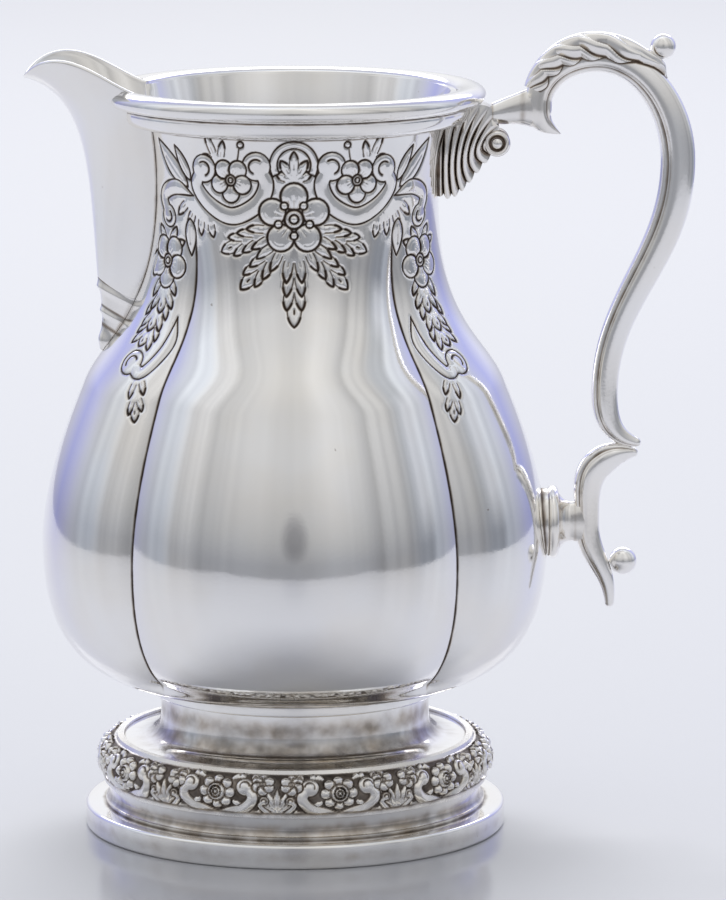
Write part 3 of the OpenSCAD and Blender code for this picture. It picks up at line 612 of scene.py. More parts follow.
def make_body():
    th = -180 + 360 * np.arange(COLS) / COLS
    fold = np.abs(np.arange(COLS) % (COLS // 2) - COLS // 4)
    low = bez(BOWL, unit(BOWL_ROWS + 1)[:-1])
    r, z = join([low[:, 0], UP_R]), join([low[:, 1], UP_Z])
    grid = COLS, len(z)
    share = np.clip((z - FREE_Z) / (MOUTH_Z - FREE_Z), 0, 1)
    height = np.where(z > FREE_Z, FREE_Z + share * (top_z(th)[:, None] - FREE_Z), z)
    radius = lobed(np.where(z > FREE_Z, crown(height), r), th[:, None], height) * SKIN
    slope = np.gradient(r, z)
    out = 1 / np.sqrt(1 + slope**2)
    cut, lift = np.zeros((2, *grid))
    field = chase()
    cut[:, BOWL_ROWS:] = field.cut[fold]
    lift[:, BOWL_ROWS:] = field.lift[fold]
    patina = np.maximum(cut**1.3, body_joints(th[:, None], height, radius))
    push = lift - LINE_CUT * cut
    co = around(radius + push * out, np.radians(th)[:, None], height - push * slope * out)
    steep = np.hypot(*np.gradient(lift))

    # Outside, in cells that are small only along the lines
    found = cells((patina > 0.12) | (steep > 0.03))
    used = np.zeros(grid, bool)
    for size, i, j in found:
        for di, dj in ((0, 0), (0, size), (size, 0), (size, size)):
            used[(i + di) % COLS, j + dj] = True
    number = np.full(grid, -1)
    number[used] = np.arange(used.sum())
    build = Build()
    build.points(co[used], patina[used])
    for size, i, j in found:
        steps = ([(k, 0) for k in range(size)] + [(size, k) for k in range(size)]
                 + [(size - k, size) for k in range(size)] + [(0, size - k) for k in range(size)])
        edge = np.stack([number[(i + di) % COLS, j + dj] for di, dj in steps], -1)
        build.faces += [[p for p in face if p >= 0] for face in edge.tolist()]

    # Inside of the wall, thinned out at the spout
    bottom, top = number[:, 0], number[:, -1]
    rim = np.nonzero(top >= 0)[0]
    pick = rim[::2]
    tha = th[pick]
    inner_t, rows = unit(26), 24
    p, d = bez(BOWL, inner_t), bez_dir(BOWL, inner_t)
    q = p - BODY_WALL * np.stack([d[:, 1], -d[:, 0]], -1)
    bowl_in = lobed(q[:, 0], tha[:, None], p[:, 1])
    edge_z = top_z(tha)[:, None]
    wall_z = join([np.tile(np.linspace(BELLY_Z, FREE_Z, rows)[1:], (len(pick), 1)),
                   FREE_Z + unit(rows)[1:] * (edge_z - FREE_Z)], 1)
    thin = ease(1.2, 0.95, (180 - np.abs(tha)) / NOTCH_ANGLE)[:, None] * ease(edge_z - 5, edge_z, wall_z)
    wall_in = body_r(tha[:, None], wall_z) - BODY_WALL * (1 - 0.95 * thin)
    inner_z = join([np.broadcast_to(q[:, 1], bowl_in.shape), wall_z], 1)
    inner = around(join([bowl_in, wall_in], 1), np.radians(tha)[:, None], inner_z)
    starts = build.grid(inner, wrap=True) + np.arange(len(pick)) * inner.shape[1]
    ends = (starts + inner.shape[1] - 1).tolist()

    # Its top edge, its floor and the floor's underside
    for k in range(len(pick)):
        ahead = (rim - pick[k - 1]) % COLS
        count = np.count_nonzero(ahead <= (pick[k] - pick[k - 1]) % COLS)
        between = top[rim[np.argsort(ahead)[:count]]]
        build.faces.append([*between.tolist(), ends[k], ends[k - 1]])
    build.fan(starts.tolist(), [0, 0, FLOOR_Z + BODY_WALL])
    build.fan(bottom[bottom >= 0].tolist(), [0, 0, FLOOR_Z])
    build.piece("body_chased", "body", CHASED, 26.0)


# Foot band with raised flowers on a dark ground
BAND_FLOWERS, BAND_PHASE, BAND_COLS, BAND_ROWS = 10, 12.8, 1280, 50


def make_band():
    fillet, high, thin, line_cut, ground_cut = 0.5, 0.5, 0.14, 0.16, 0.15
    low = np.array([PLINTH_R + 0.3, BAND_Z + fillet])
    belly = np.array([PLINTH_R + BAND_BULGE, BAND_Z + BAND_H * 0.4])
    top = np.array([EDGE_R + 0.5, TRUMPET_Z - fillet])
    curve = join([bez(turn(low, UP, belly, UP, 0.4), unit(60))[:-1],
                  bez(turn(belly, UP, top, IN, 0.6), unit(90))])
    along = join([[0], np.cumsum(np.linalg.norm(np.diff(curve, axis=0), axis=1))])
    s = np.linspace(0, along[-1], BAND_ROWS)
    p = np.stack([np.interp(s, along, curve[:, 0]), np.interp(s, along, curve[:, 1])], -1)
    d = np.gradient(p, axis=0)
    normal = np.stack([d[:, 1], -d[:, 0]], -1) / np.linalg.norm(d, axis=1, keepdims=True)
    half = BAND_COLS // BAND_FLOWERS // 2
    phi = np.radians(np.linspace(0, 180 / BAND_FLOWERS, half + 1))
    f = Field(phi, np.full(BAND_ROWS, PLINTH_R), s)
    mid, spray = (0.0, s[-1] * 0.47), (phi[-1], s[-1] * 0.47)
    # Leaves along the scrolls and a fan between two of them
    for x, y, heading, length in ((2.2, 2.2, 40, 2.6), (2.5, -1.2, -40, 2.2), (5.6, -3.0, -8, 2.8),
                                  (6.2, -1.9, 14, 2.6), (6.2, -0.3, 52, 2.0), (5.4, 1.6, 78, 2.0),
                                  (3.8, 2.2, 96, 1.6)):
        lobe(f, mid, x, y, heading, length, 1.4, 0, high, thin)
    for heading, length in ((156, 3.0), (133, 3.6), (111, 4.1), (90, 4.3)):
        lobe(f, spray, 0, -3.4, heading, length, 1.3, 0, high, thin)
    # Scrolls, a small flower on each side of the fan and the large flower with its ringed eye
    for at, pts, broad, eyes in (
            (spray, [(-0.5, -3.4), (-1.7, -2.9), (-2.5, -1.9), (-1.9, -1.1)], 0.42, (0, 0.7)),
            (mid, [(4.3, 1.0), (5.4, -0.6), (4.4, -2.3), (2.0, -3.15), (-0.6, -3.3)], 0.88, (1.4, 0))):
        c_scroll(f, at, pts, broad, eyes, 1, high, thin)
    flower(f, spray, -2.1, 1.5, 0.8, 1.0, 90, 0, high, 0.13, 6)
    flower(f, mid, 0, 0, 0.88, 1.95, 90, 0, high * 1.2, thin, 8)
    for r, lift, line, soft in ((1.4, 1.3, thin, 0.35), (0.85, 1.2, 0.13, 0.25), (0.4, 1.4, 0.12, 0.2)):
        f.shape(mid, [arc(0, 0, r)], high * lift, line, soft)
    fold = np.abs((np.arange(BAND_COLS) + half) % (2 * half) - half)
    edge = np.minimum(s, s[-1] - s)
    ground = 1 - f.cover[fold]
    cut = f.cut[fold] * ease(0, 0.3, edge)
    push = f.lift[fold] * ease(0, 0.5, edge) - line_cut * cut - ground_cut * ground * ease(0.1, 0.6, edge)
    patina = np.maximum(0.8 * cut, 0.72 * ground * ease(0.15, 0.6, edge))
    for at, depth in ((s[-1] - 0.5, 0.75), (0.2, 0.6)):
        patina = np.maximum(patina, depth * bump(s, at, 0.3))
    back = np.array([[EDGE_R + 0.3, TRUMPET_Z], [LIP_R, TRUMPET_Z], [LIP_R, BAND_Z],
                     [PLINTH_R + 0.3, BAND_Z]])
    r, z = (join([p[:, k] + push * normal[:, k], np.tile(back[:, k], (BAND_COLS, 1))], 1) for k in (0, 1))
    a = np.radians(np.arange(BAND_COLS) * 360 / BAND_COLS - 90 + BAND_PHASE)[:, None]
    build = Build()
    build.grid(around(r, a, z), np.pad(patina, ((0, 0), (0, len(back)))), wrap=True, close=True)
    build.piece("foot_band_relief", "foot_band", RELIEF)


# Spout and the drop under it
BACK_X = -NECK_R - SPOUT_BACK
BACK = [[BACK_X + 0.12 * SPOUT_BACK, TAIL_Z + 0.07 * SPOUT_DEPTH],
        [BACK_X - 0.05 * SPOUT_BACK, MOUTH_Z - 0.43 * SPOUT_DEPTH],
        [BACK_X + 0.05 * SPOUT_BACK, MOUTH_Z - 0.5], [-CREST_R - SPOUT_TIP, MOUTH_Z + TIP_RISE]]
DROP_BARS = (0.13, 0.05, 0.35), (0.47, 0.045, 0.3), (0.87, 0.11, 0.4)
DROP_SEAMS = (0.03, 0.03), (0.39, 0.025), (0.66, 0.04)


def spout_section(v, wall, n):
    """Bow of the spout at share v of its height, set in by wall, from one root to the other."""
    z = mix(TAIL_Z, MOUTH_Z, v)
    r = float(body_r(0, z))
    th = SPOUT_ANGLE * math.sqrt(v) - math.degrees(wall / r)
    back = bez(BACK, v) + [wall, 0]
    way = np.array([math.cos(math.radians(th)), math.sin(math.radians(th))])
    root = float(body_r(th, z)) * way
    grow = (0.3 + 0.12 * v**6) * (-back[0] - root[0])
    u = 1 - np.abs(2 * np.arange(n + 1) / n - 1)
    b = bez([root, root + grow * way, [-back[0], root[1] * 0.56], [-back[0], 0]], u)
    side = np.where(np.arange(n + 1) * 2 < n, -1, 1)
    hump = LIP_HUMP * v**8 * np.sin(math.pi * u) ** 1.5 * 0.75
    return np.stack([-b[:, 0], side * b[:, 1], mix(z, back[1], u * u * (3 - 2 * u)) + hump], -1)


def make_spout():
    n, rows, lip_rows = 96, 80, 5
    outer, inner = (np.array([spout_section(v, wall, n) for v in np.linspace(SPOUT_FROM, 1, rows)])
                    for wall in (0, SPOUT_WALL))
    dark = np.zeros((rows + lip_rows, 2 * n + 2))
    root = np.linalg.norm(outer - outer[:, :1], axis=-1)
    dark[:rows, :n + 1] = 0.5 * bump(np.minimum(root, root[:, ::-1]), 0, 0.3)
    # Rounded lip
    middle = (outer[-1] + inner[-1]) / 2
    outer, inner = list(outer), list(inner)
    edges = outer[-1], inner[-1]
    for k in np.radians(np.linspace(0, 84, lip_rows + 1)[1:]):
        up = [0, 0, SPOUT_WALL / 2 * math.sin(k)]
        for side, edge in zip((outer, inner), edges):
            side.append(middle + (edge - middle) * math.cos(k) + up)
    loops = [join([o, i[::-1]]) for o, i in zip(outer, inner)]
    lofted("spout_beak", "spout", POLISHED, loops, dark)


def on_spout_side(y, z):
    """Points on the body under the spout, at about y from the middle plane."""
    th = np.degrees(np.arcsin(y / float(body_r(0, z))))
    r = body_r(th, z)
    return np.stack([-r * np.cos(np.radians(th)), r * np.sin(np.radians(th)), np.full(len(y), z)], -1)


def make_drop():
    n, rows = 48, 130
    top = spout_section(SPOUT_FROM, 0, n)
    degrees = 180 * np.arange(n + 1) / n - 90
    a = np.radians(degrees)
    root = 0.45 * (bump(degrees, -90, 8) + bump(degrees, 90, 8))
    end_r = float(body_r(0, top[0][2] - DROP_LEN)) + 0.3
    loops, dark = [], []
    for w in unit(rows):
        z = top[0][2] - DROP_LEN * w
        bars = hills(w, *DROP_BARS)
        out = mix(-top[n // 2][0], end_r, w) - float(body_r(0, z)) + bars - 0.45 * math.sin(math.pi * w)
        rise = mix(top[n // 2][2] - top[0][2], 0.4, w)
        width = mix(top[n][1], 0.6, w) + 0.6 * bars
        lift = np.stack([-out * np.cos(a), 0 * a, rise * np.cos(a)], -1)
        front = mix(top, on_spout_side(width * np.sin(a), z) + lift, float(ease(0, 0.12, w)))
        loops.append(join([front, on_spout_side(front[::-1, 1], z)]))
        seam = max(float(bump(w, at, wide)) for at, wide in DROP_SEAMS)
        dark.append(join([np.maximum(0.6 * seam, root), np.zeros(n + 1)]))
    lofted("spout_drop_banded", "spout_drop", CAST, loops, dark)


# Handle scrolls: chains of curves with a half-thickness at each joint
CURL_P, TOP_P, BACK_P = FRONT_P + [3.3, -4.3], FRONT_P + [8.7, 7.1], FRONT_P + [21, -8.5]
LOWER_P = np.array([JOINT_X + DISC_T + LOWER_STEM_LEN + LOWER_T * 0.9, JOINT_Z])
WAIST_P, LIP_P, BEND_P = LOWER_P + [2.5, 19.6], LOWER_P + [7.2, 12.1], LOWER_P + [1.5, 8.6]
END_P = LIP_P - np.array([0.2, 0.8]) * LOWER_T
SCROLL = through((ROUND, ROUND, ROUND, 0.42, ROUND), (CURL_P, [-0.9, 0.43]), (FRONT_P, UP), (TOP_P, OUT),
                 (BACK_P, DOWN), (WAIST_P, DOWN), (LIP_P, [0.97, -0.24]))
SCROLL_HALF = np.array([0.05, 0.78, 0.82, 1, 0.76, 0.28]) * SCROLL_T
LOWER = through((0.4, 0.4, 0.45), (END_P, IN), (BEND_P, [-0.72, -0.69]), (LOWER_P, DOWN),
                (LOWER_P + [3.4, -12.4], DOWN))
LOWER_HALF = np.array([0.36, 1.2, 0.94, 0.36]) * LOWER_T
# Angle from the outer edge, width and depth of the hollows and of the patina in a scroll's section
HOLLOWS = (133, 7, 0.13), (119, 5, 0.05), (70, 27, 0.08), (0, 22, 0.06)
GROOVES = (133, 6, 0.6), (119, 4, 0.4)
NOSE = np.radians([12, 25, 38, 50, 62, 72, 80, 86])  # steps of the round ends


def path_at(paths, halves, g):
    """Middle point, outward normal and half-thickness at parameter g of a chain of curves."""
    last = len(paths) - 1
    k = min(last, int(g))
    t = g - k
    e = t * (2 - t) if k == 0 else t * t if k == last else t * t * (3 - 2 * t)
    d = bez_dir(paths[k], t)
    return bez(paths[k], t), np.array([-d[1], d[0]]), mix(halves[k], halves[k + 1], e)


def on_scroll(s, a, t=0.0, shape=1.0):
    """Points at the angles a round the section s, raised by t."""
    p, normal, half = s
    u = (half * shape + t) * np.cos(a)
    y = (half * ASPECT * shape + t) * np.sin(a)
    return np.stack([p[0] + u * normal[0], y, p[1] + u * normal[1]], -1)


def leaf_wrap(w):
    """Angle to which the leaf reaches round the scroll, in degrees."""
    lobes = 18 * np.abs(np.sin(math.pi * LEAF_LOBES * w)) * (1 - 0.5 * w)
    return (82 + lobes) * (1 - 0.8 * ease(0.72, 1, w))


def make_scroll(name, node, paths, halves, rows, leaf_on=False):
    """Scroll with a bead along its inner edge, a groove and a ridge beside it, and hollow sides."""
    a = ring(96, True)
    side = np.abs((np.degrees(a) + 180) % 360 - 180)
    shape, groove = 1 - hills(side, *HOLLOWS), hills(side, *GROOVES)
    stations = [(path_at(paths, halves, g), g) for g in np.linspace(0, len(paths), rows)]

    def nose(s, k, way):
        p, normal, half = s
        return p + way * half * math.sin(k) * np.array([normal[1], -normal[0]]), normal, half * math.cos(k)

    chain = ([(nose(stations[0][0], k, -1), 0) for k in NOSE[::-1]] + stations
             + [(nose(stations[-1][0], k, 1), len(paths)) for k in NOSE])
    loops, dark = [], []
    for s, g in chain:
        loops.append(on_scroll(s, a, 0.0, shape))
        w = (g - LEAF_FROM) / (LEAF_TO - LEAF_FROM)
        # painted shadow on the scroll just beyond the leaf's edge
        under = 0.8 * bump(side, leaf_wrap(np.clip(w, 0, 1)) + 2, 7) * leaf_on * (0 < w < 1)
        dark.append(np.maximum(groove, under))
    lofted(name, node, CAST, loops, dark)


def make_leaf():
    """Leaf of overlapping lobes that sweep from its crest along to its edges."""
    rows, cols = 300, 57
    k = np.linspace(-1, 1, cols)
    loops, dark = [], []
    for w in unit(rows):
        s = path_at(SCROLL, SCROLL_HALF, mix(LEAF_FROM, LEAF_TO, w))
        a = np.radians(leaf_wrap(w) * k)
        crest = LEAF_T * (0.2 + 0.8 * ease(-0.1, 0.55, w)) * (1 - 0.35 * ease(0.6, 1, w))
        thick = crest * (0.3 + 0.7 * np.cos(a * 0.75) ** 2)
        sweep = (LEAF_LOBES * w + 2.1 * (1 - np.abs(k))) % 1
        valley = 1 - ease(0, 0.6, sweep) * (1 - ease(0.8, 1, sweep))
        low = 0.65 * valley * ease(0.05, 0.5, np.abs(k)) + ease(0.94, 1, w)
        upper = on_scroll(s, a, thick * (1 - low) + 0.3 * bump(w, 0.9, 0.03) * bump(k, 0, 0.6))
        loops.append(join([upper, on_scroll(s, a[::-1], -0.25)]))
        hollow = 0.85 * np.maximum(bump(sweep, 1, 0.16), bump(sweep, 0, 0.14)) * ease(0.1, 0.6, np.abs(k))
        dark.append(join([hollow, np.full(cols, 0.6)]))
    lofted("thumb_leaf_veined", "thumb_leaf", CAST, loops, dark)


# Stems of the handle
STEM_T = unit(60)


def make_web(name, node, x, z, high, broad, dark):
    """Stem through upright ovals at x, with their middle heights z, half-heights and half-breadths."""
    a = ring(64, True)
    x, z, high, broad = (np.broadcast_to(v, STEM_T.shape)[:, None] for v in (x, z, high, broad))
    loops = np.stack(np.broadcast_arrays(x, broad * np.sin(a), z + high * np.cos(a)), -1)
    lofted(name, node, CAST, loops, np.repeat(dark[:, None], len(a), 1))


def make_upper_stem():
    low = STEM_LOW - 0.5 * ease(0.6, 1, STEM_T)
    top = STEM_LOW + mix(STEM_H, STEM_END, STEM_T)
    broad = ASPECT * SCROLL_T * 0.66 * (1 - 0.1 * np.sin(math.pi * STEM_T))
    make_web("upper_stem_bracket", "upper_stem", mix(STEM_FROM, FRONT_P[0] - 0.5, STEM_T), (top + low) / 2,
             (top - low) / 2, broad, hills(STEM_T, (0, 0.06, 0.4), (0.72, 0.1, 0.35)))


def make_lower_stem():
    h, b, waist = LOWER_STEM_H / 2, ASPECT * LOWER_T * 0.9, 0.45

    def bow(first, middle, last):
        return np.where(STEM_T < waist, mix(middle, first, np.clip(1 - STEM_T / waist, 0, 1) ** 2),
                        mix(middle, last, np.clip((STEM_T - waist) / (1 - waist), 0, 1) ** 2))

    x = JOINT_X + DISC_T + (LOWER_STEM_LEN + LOWER_T * 0.8) * STEM_T
    high, broad = bow(mix(h, DISC_D / 2, 0.55), h, h * 1.3), bow(mix(b, DISC_D / 2, 0.4), b, b)
    make_web("lower_stem_waisted", "lower_stem", x, JOINT_Z, high, broad,
             hills(STEM_T, (0, 0.06, 0.5), (0.6, 0.08, 0.3)))


def seat_r(z):
    """Radius of the body and its rim on the handle's side, on which the shell sits."""
    half = (CREST_Z - BEAD_Z) / 2
    k = np.clip((BEAD_Z + half - z) / half, 0, 1)
    bead = mix(FASCIA_R, BEAD_R, np.sqrt(1 - k * k))
    fascia = mix(FASCIA_LOW_R, FASCIA_R, (z - FASCIA_Z) / FASCIA_H)
    return np.where(z < FASCIA_Z, body_r(0, z), np.where(z < BEAD_Z, fascia, bead))


def make_shell():
    """Shell under the rim, its flutes bent round a volute."""
    cols, rows = 252, 56
    volute = np.array([STEM_FROM + 0.8, STEM_LOW - 0.95 - VOLUTE_R])
    shell_z = FRONT_P[1] - SHELL_H
    top = [[NECK_R, FASCIA_Z - 0.3], [NECK_R + 4.2, FASCIA_Z + 3.4], [STEM_FROM + 1.2, FASCIA_Z + 4.5],
           volute + VOLUTE_R * np.array([0.18, 0.98])]
    foot = [[NECK_R, shell_z], [NECK_R + 3, shell_z - 2], [NECK_R + 5.2, mix(shell_z, volute[1], 0.48)],
            volute - VOLUTE_R * np.array([0.12, 0.98])]
    s = unit(cols + 1)
    flute = np.abs(np.cos(math.pi * SHELL_FLUTES * s)) ** 0.8
    p, q = bez(top, s), bez(foot, s)
    q[:, 1] += 0.7 * (1 - flute)
    m = mix(np.array([NECK_R, volute[1] - 2.2]), volute - [VOLUTE_R, 0], s[:, None])
    loops, dark = [], []
    for t in unit(rows):
        b = (1 - t) ** 2 * p + 2 * t * (1 - t) * (2 * m - (p + q) / 2) + t * t * q
        past = b - [STEM_FROM, STEM_LOW]
        inside = (past > 0).all(1)
        b[:, 0] = np.where(inside & (past[:, 0] < past[:, 1]), STEM_FROM, b[:, 0])
        b[:, 1] = np.where(inside & (past[:, 0] >= past[:, 1]), STEM_LOW, b[:, 1])
        deep = SHELL_HALF * (1 - 0.45 * s) * (0.55 + 0.5 * math.sin(math.radians(30 + 150 * t)))
        deep = deep * (1 - 0.2 * (1 - flute) * min(1, 3 * t))
        seat = np.sqrt(seat_r(b[:, 1]) ** 2 - deep**2)
        x = np.where(s == 0, seat, np.maximum(b[:, 0], seat))
        near = np.stack([x, -deep, b[:, 1]], -1)
        loops.append(join([near, near[::-1] * [1, -1, 1]]))
        d = np.maximum(0.9 * (1 - flute) * min(1, 0.3 + 3 * t), 0.8 * bump(s, 0, 0.02))
        # painted shade on the shell's top, under the rim and nearest the body
        d = np.maximum(d, 0.42 * (1 - t) ** 1.2 * (1 - 0.7 * s))
        dark.append(join([d, d[::-1]]))
    build = Build()
    build.loft(loops, np.array(dark))
    # Volute: a bead in a dark ring and a raised rim on each side
    rho, psi, volute_r = np.linspace(0.02, 1, 44), ring(72)[:, None], VOLUTE_R * 1.15
    high = 0.6 * np.sqrt(np.clip(1 - (rho / 0.42) ** 2, 0, 1))
    high += hills(rho, (0.54, 0.12, -0.3), (0.82, 0.12, 0.25))
    deep = SHELL_HALF * 0.6 - 0.2 + high - 0.3 * ease(0.86, 1, rho) ** 2
    shade = hills(rho, (0.54, 0.1, 0.95), (1, 0.06, 0.6))
    face = np.stack(np.broadcast_arrays(volute[0] + volute_r * rho * np.cos(psi), -deep,
                                        volute[1] + volute_r * rho * np.sin(psi)), -1)
    build.disc(join([face, face[:, ::-1] * [1, -1, 1]], 1), join([shade, shade[::-1]]),
               [[volute[0], way * deep[0], volute[1]] for way in (-1, 1)])
    build.piece("shell_mount_fluted", "shell_mount", CAST)


# Turned pieces of the foot, round where the CAD model has short straight steps
def lathe(name, node, *parts):
    outline = join(parts)
    build = Build()
    build.grid(around(outline[:, 0], ring(288)[:, None], outline[:, 1]), wrap=True, close=True)
    build.piece(name, node, TURNED)


def round_corner(x, z, r, first):
    """Quarter circle of radius r that rounds an outer corner, from the angle first on."""
    a = np.radians(np.linspace(first, first + 90, 8))
    return np.stack([x - r + r * np.cos(a), z - r * math.copysign(1, first + 45) + r * np.sin(a)], -1)


def hoop(name, node, inner, outer, low, top, edge):
    """Flat ring with rounded outer edges."""
    lathe(name, node, [[inner, low]], round_corner(outer, low, edge, -90), round_corner(outer, top, edge, 0),
          [[inner, top]])


def make_foot():
    t = unit(60)
    low, straight, hug = TRUMPET_Z - 0.4, COLLAR_Z - 1.6, 0.86
    bore, inside = STEM_R - FOOT_WALL, PLINTH_R - FOOT_WALL - COVE
    rise = bez(turn([LIP_R, low], IN, [STEM_R, straight], UP, hug), t)
    under = bez(turn([LIP_R, low - FOOT_WALL], IN, [bore, straight], UP, hug), t)
    hollow = bez(turn([PLINTH_R, PLINTH_Z + 0.5], IN, [PLINTH_R - COVE, (PLINTH_Z + BAND_Z) / 2], UP), t)
    lathe("foot_trumpet_spun", "foot_trumpet", rise, [[STEM_R, COLLAR_Z], [bore, COLLAR_Z]], under[::-1])
    hoop("foot_collar_turned", "foot_collar", bore, COLLAR_R, COLLAR_Z, FLOOR_Z, 0.3)
    lathe("foot_plinth_turned", "foot_plinth", [[inside, PLINTH_Z], [PLINTH_R, PLINTH_Z]], hollow,
          [[PLINTH_R - COVE * 0.5, BAND_Z], [inside, BAND_Z]])
    hoop("foot_ring_turned", "foot_ring", inside - 0.6, BASE_R, 0, PLINTH_Z, 0.5)


def make_rim():
    """Moulded wire round the mouth, each of its lines ended inside the wall of the spout."""
    t, half_z = unit(16), (BEAD_Z + CREST_Z) / 2
    bead = through([ROUND] * 3, ([MOUTH_R, MOUTH_Z], UP), ([CREST_R, CREST_Z], OUT),
                   ([BEAD_R, half_z], DOWN), ([FASCIA_R, BEAD_Z], IN))
    fascia = turn([FASCIA_R - 0.1, BEAD_Z - 0.2], DOWN, [FASCIA_LOW_R, FASCIA_Z], IN, 0.7)
    outline = join([[[MOUTH_R - 0.3, MOUTH_Z - 0.3]], *(bez(curve, t) for curve in (*bead, fascia)),
                    [[FASCIA_LOW_R - FASCIA_EDGE - 0.3, FASCIA_Z]]])
    side = join([spout_section(v, 0, 160)[:80] for v in np.linspace(0.6, 1, 80)])
    r, th = np.hypot(side[:, 0], side[:, 1]), np.degrees(np.arctan2(-side[:, 1], -side[:, 0]))
    near = np.argmin((r - outline[:, :1]) ** 2 + (side[:, 2] - outline[:, 1:]) ** 2, 1)
    end = np.radians(180 - th[near]) + 0.4 / outline[:, 0]
    a = np.linspace(-1, 1, 481)[:, None] * end
    lofted("rim_moulding_rolled", "rim_moulding", TURNED, around(outline[:, 0], a, outline[:, 1]))


def make_collar():
    """Disc with a rounded edge, its back on the belly."""
    psi, disc_r, edge, front = ring(96)[:, None], DISC_D / 2, 0.9, JOINT_X + DISC_T
    k = np.radians(np.linspace(0, 150, 14))
    rho = join([[0.6], disc_r - edge * (1 - np.sin(k)), [disc_r - 0.5, disc_r - 0.7, 0.6]])
    y, z = rho * np.sin(psi), JOINT_Z + rho * np.cos(psi)
    r = body_r(np.degrees(np.arcsin(y / JOINT_X)), z)
    x = np.tile(front - join([[0], edge * (1 - np.cos(k)), [0, 0, 0]]), (len(psi), 1))
    x[:, -3:] = np.sqrt(r**2 - y**2)[:, -3:] - [0.1, 0.2, 0.2]
    dark = join([np.zeros(len(rho) - 3), [0.8, 1, 1]])
    build = Build()
    build.disc(np.stack([x, y, z], -1), dark, [[front, 0, JOINT_Z], [JOINT_X - 0.2, 0, JOINT_Z]])
    build.piece("lower_collar_rounded", "lower_collar", CAST)


make_body()
make_band()
make_spout()
make_drop()
make_scroll("handle_scroll_moulded", "handle_scroll", SCROLL, SCROLL_HALF, 420, True)
make_scroll("lower_scroll_moulded", "lower_scroll", LOWER, LOWER_HALF, 240)
make_leaf()
make_upper_stem()
make_lower_stem()
make_shell()
make_foot()
make_rim()
make_collar()

# Beads keep their CAD shapes
for bead in ("thumb_bead", "lower_bead"):
    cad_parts[bead].data.materials.clear()
    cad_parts[bead].data.materials.append(CAST[0])

# Camera at the photograph's viewing angle
cam_data = bpy.data.cameras.new("camera")
cam_data.sensor_width = 36.0
cam_data.lens = 226.0
cam_data.clip_start, cam_data.clip_end = 0.01, 50.0
camera = put("camera", cam_data)
camera.location = (0.00007, -0.8363, 0.2023)
camera.rotation_euler = Euler((math.radians(80.14), 0.0, math.radians(-0.7)))
bpy.context.scene.camera = camera

# Floor and studio: a light tent, darker at the horizon, and two lamps behind the jug
PALE, FLOOR = (0.62, 0.63, 0.80), (0.48, 0.485, 0.51)
HALF, FAR = 0.42, 4  # half-breadth of the floor, and how far it goes behind the jug


def make_floor():
    mesh = bpy.data.meshes.new("floor")
    corners = [(-HALF, -HALF, 0), (HALF, -HALF, 0), (HALF, FAR, 0), (-HALF, FAR, 0)]
    mesh.from_pydata(corners, [], [(0, 1, 2, 3)])
    mat = bpy.data.materials.new("floor")
    mat.use_nodes = True
    shader = mat.node_tree.nodes["Principled BSDF"]
    shader.inputs["Base Color"].default_value = (*FLOOR, 1)
    shader.inputs["Roughness"].default_value = 0.14
    mesh.materials.append(mat)
    ob = put("floor", mesh)


def lamp(name, place, target, size, power):
    data = bpy.data.lights.new(name, "AREA")
    data.shape = "RECTANGLE"
    data.size, data.size_y = size
    data.energy = power
    ob = put(name, data)
    ob.location = place
    ob.rotation_euler = (Vector(target) - Vector(place)).to_track_quat("-Z", "Y").to_euler()
    return ob


make_floor()
lamp("back_box", (0.0, 1.2, 0.9), (0, 0, 0.06), (1.6, 0.5), 5.0)
lamp("floor_light", (0.0, 1.1, 2.2), (0, 0.1, 0), (1.2, 0.9), 46.0).visible_glossy = False

# Colours of the tent: its wall by height, the brightness of its cloth by degrees from the camera,
# bluer beyond SIDE, a lighter length at the right, and one half of the backdrop behind the jug
BLACK, WHITE, BLUISH, SIDE = (0, 0, 0), (1, 1, 1), (1.0, 1.05, 1.13), 85
WALL = ((-0.2, (0.33, 0.34, 0.37)), (0.0, (0.34, 0.35, 0.38)), (0.17, (0.47, 0.475, 0.49)),
        (0.34, (0.58, 0.58, 0.59)), (0.5, (0.68, 0.68, 0.685)), (0.77, (0.72, 0.72, 0.725)),
        (0.9, (0.76,) * 3), (1.0, WHITE))
CLOTH = ((-180, 1.0), (-120, 1.1), (-104, 1.28), (-94, 1.28), (-84, 1.2), (-72, 1.25), (-64, 0.92),
         (-48, 1.02), (-40, 1.04), (-24, 1.08), (-14, 1.0), (6, 1.0), (16, 1.1), (24, 1.22), (36, 1.18),
         (44, 1.02), (54, 1.0), (57, 0.72), (60, 1.02), (78, 0.95), (88, 0.8), (97, 0.78), (102, 1.2),
         (116, 1.2), (124, 1.05), (180, 1.0))
TAUT = ((-62, BLACK), (-34, (0.85,) * 3), (34, (0.85,) * 3), (52, BLACK))
LIGHT = ((85, BLACK), (92, (0.2, 0.2, 0.216)), (98, (0.2, 0.2, 0.216)), (106, BLACK))
LIGHT_RISE = ((-0.02, BLACK), (0.14, WHITE), (0.35, WHITE), (0.55, BLACK))
BACKDROP = ((110, (0.62, 0.64, 0.76)), (135, (0.50, 0.53, 0.92)), (155, (0.80, 0.82, 1.0)),
            (180, (0.96, 0.97, 1.0)))
BACKDROP_RISE = ((-0.05, (0.62, 0.62, 0.64)), (0.2, WHITE), (0.6, WHITE), (0.9, (0.6,) * 3))
LENS_WAY = (0.0, -0.985, 0.172)


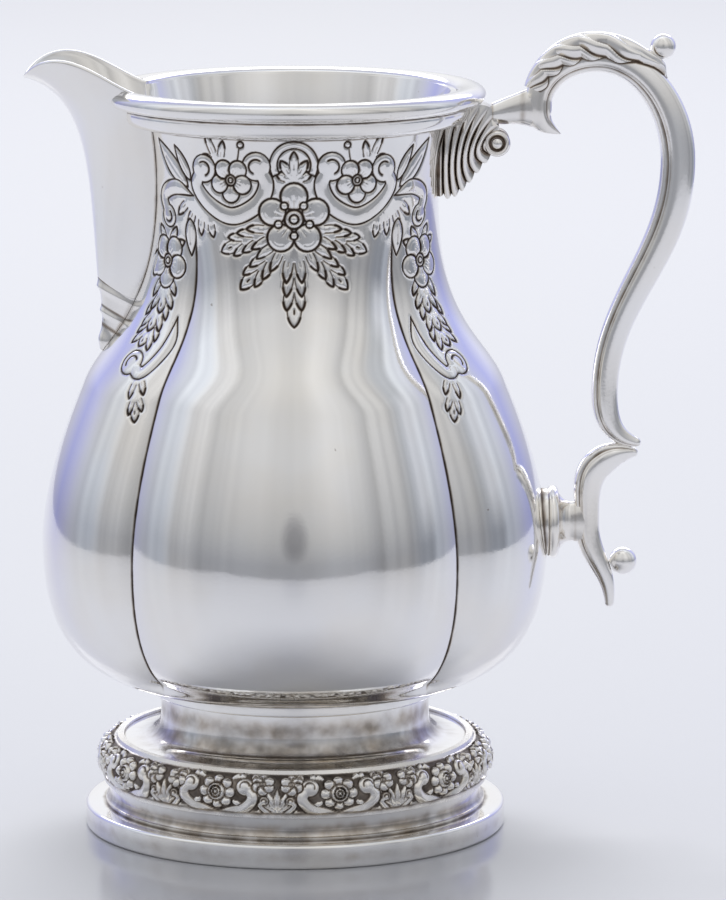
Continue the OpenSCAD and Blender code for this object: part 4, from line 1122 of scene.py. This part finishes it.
def make_world():
    world = bpy.data.worlds.new("studio")
    world.use_nodes = True
    make = Nodes(world.node_tree)
    way = make.add("TexCoord", {}, "Generated")
    x, y, z = make.add("SeparateXYZ", {"Vector": way}).node.outputs
    angle = make.math("ARCTAN2", x, make.math("MULTIPLY", y, -1.0))

    def by_angle(stops):
        return make.ramp(angle, [(math.radians(az), shade) for az, shade in stops], -math.pi, math.pi)

    def by_height(stops):
        return make.ramp(z, stops, -1.0)

    def times(a, b):
        return make.mix("MULTIPLY", 1.0, a, b)

    # Tent wall with its folds, taut in front, and its lengths of cloth at half strength, then doubled
    folds = make.add("TexNoise", {"W": angle, "Scale": 6.0, "Detail": 5.0}, "Fac", noise_dimensions="1D")
    crinkle = make.ramp(folds, [(0.35, (0.80, 0.80, 0.81)), (0.60, WHITE)])
    crinkle = make.mix("MIX", by_angle(TAUT), crinkle, (0.90, 0.90, 0.905, 1))
    cloth = by_angle([(az, [v * k * 0.5 for k in (BLUISH if abs(az) > SIDE else WHITE)]) for az, v in CLOTH])
    tent = times(times(by_height(WALL), crinkle), cloth)
    tent = make.mix("ADD", 1.0, tent, tent)
    tent = make.mix("ADD", 1.0, tent, times(by_angle(LIGHT), by_height(LIGHT_RISE)))
    # Pale backdrop behind the jug, bluer towards its sides
    backdrop = by_angle([(-az, shade) for az, shade in BACKDROP[::-1]] + list(BACKDROP))
    behind = make.ramp(y, [(0.20, BLACK), (0.55, WHITE)], -1.0)
    tent = make.mix("MIX", behind, tent, times(backdrop, by_height(BACKDROP_RISE)))
    # Dark opening for the lens
    lens = make.add("VectorMath", {0: way, 1: LENS_WAY}, "Value", operation="DOT_PRODUCT")
    tent = times(tent, make.ramp(lens, [(0.986, WHITE), (0.998, (0.6, 0.6, 0.62))], 0.9))
    seen = make.add("LightPath", {}, "Is Camera Ray")
    ground = world.node_tree.nodes["Background"].inputs
    make.feed(ground["Color"], make.mix("MIX", seen, tent, (*PALE, 1)))
    ground["Strength"].default_value = 1.0
    bpy.context.scene.world = world


make_world()
bpy.context.scene.view_settings.view_transform = "Standard"
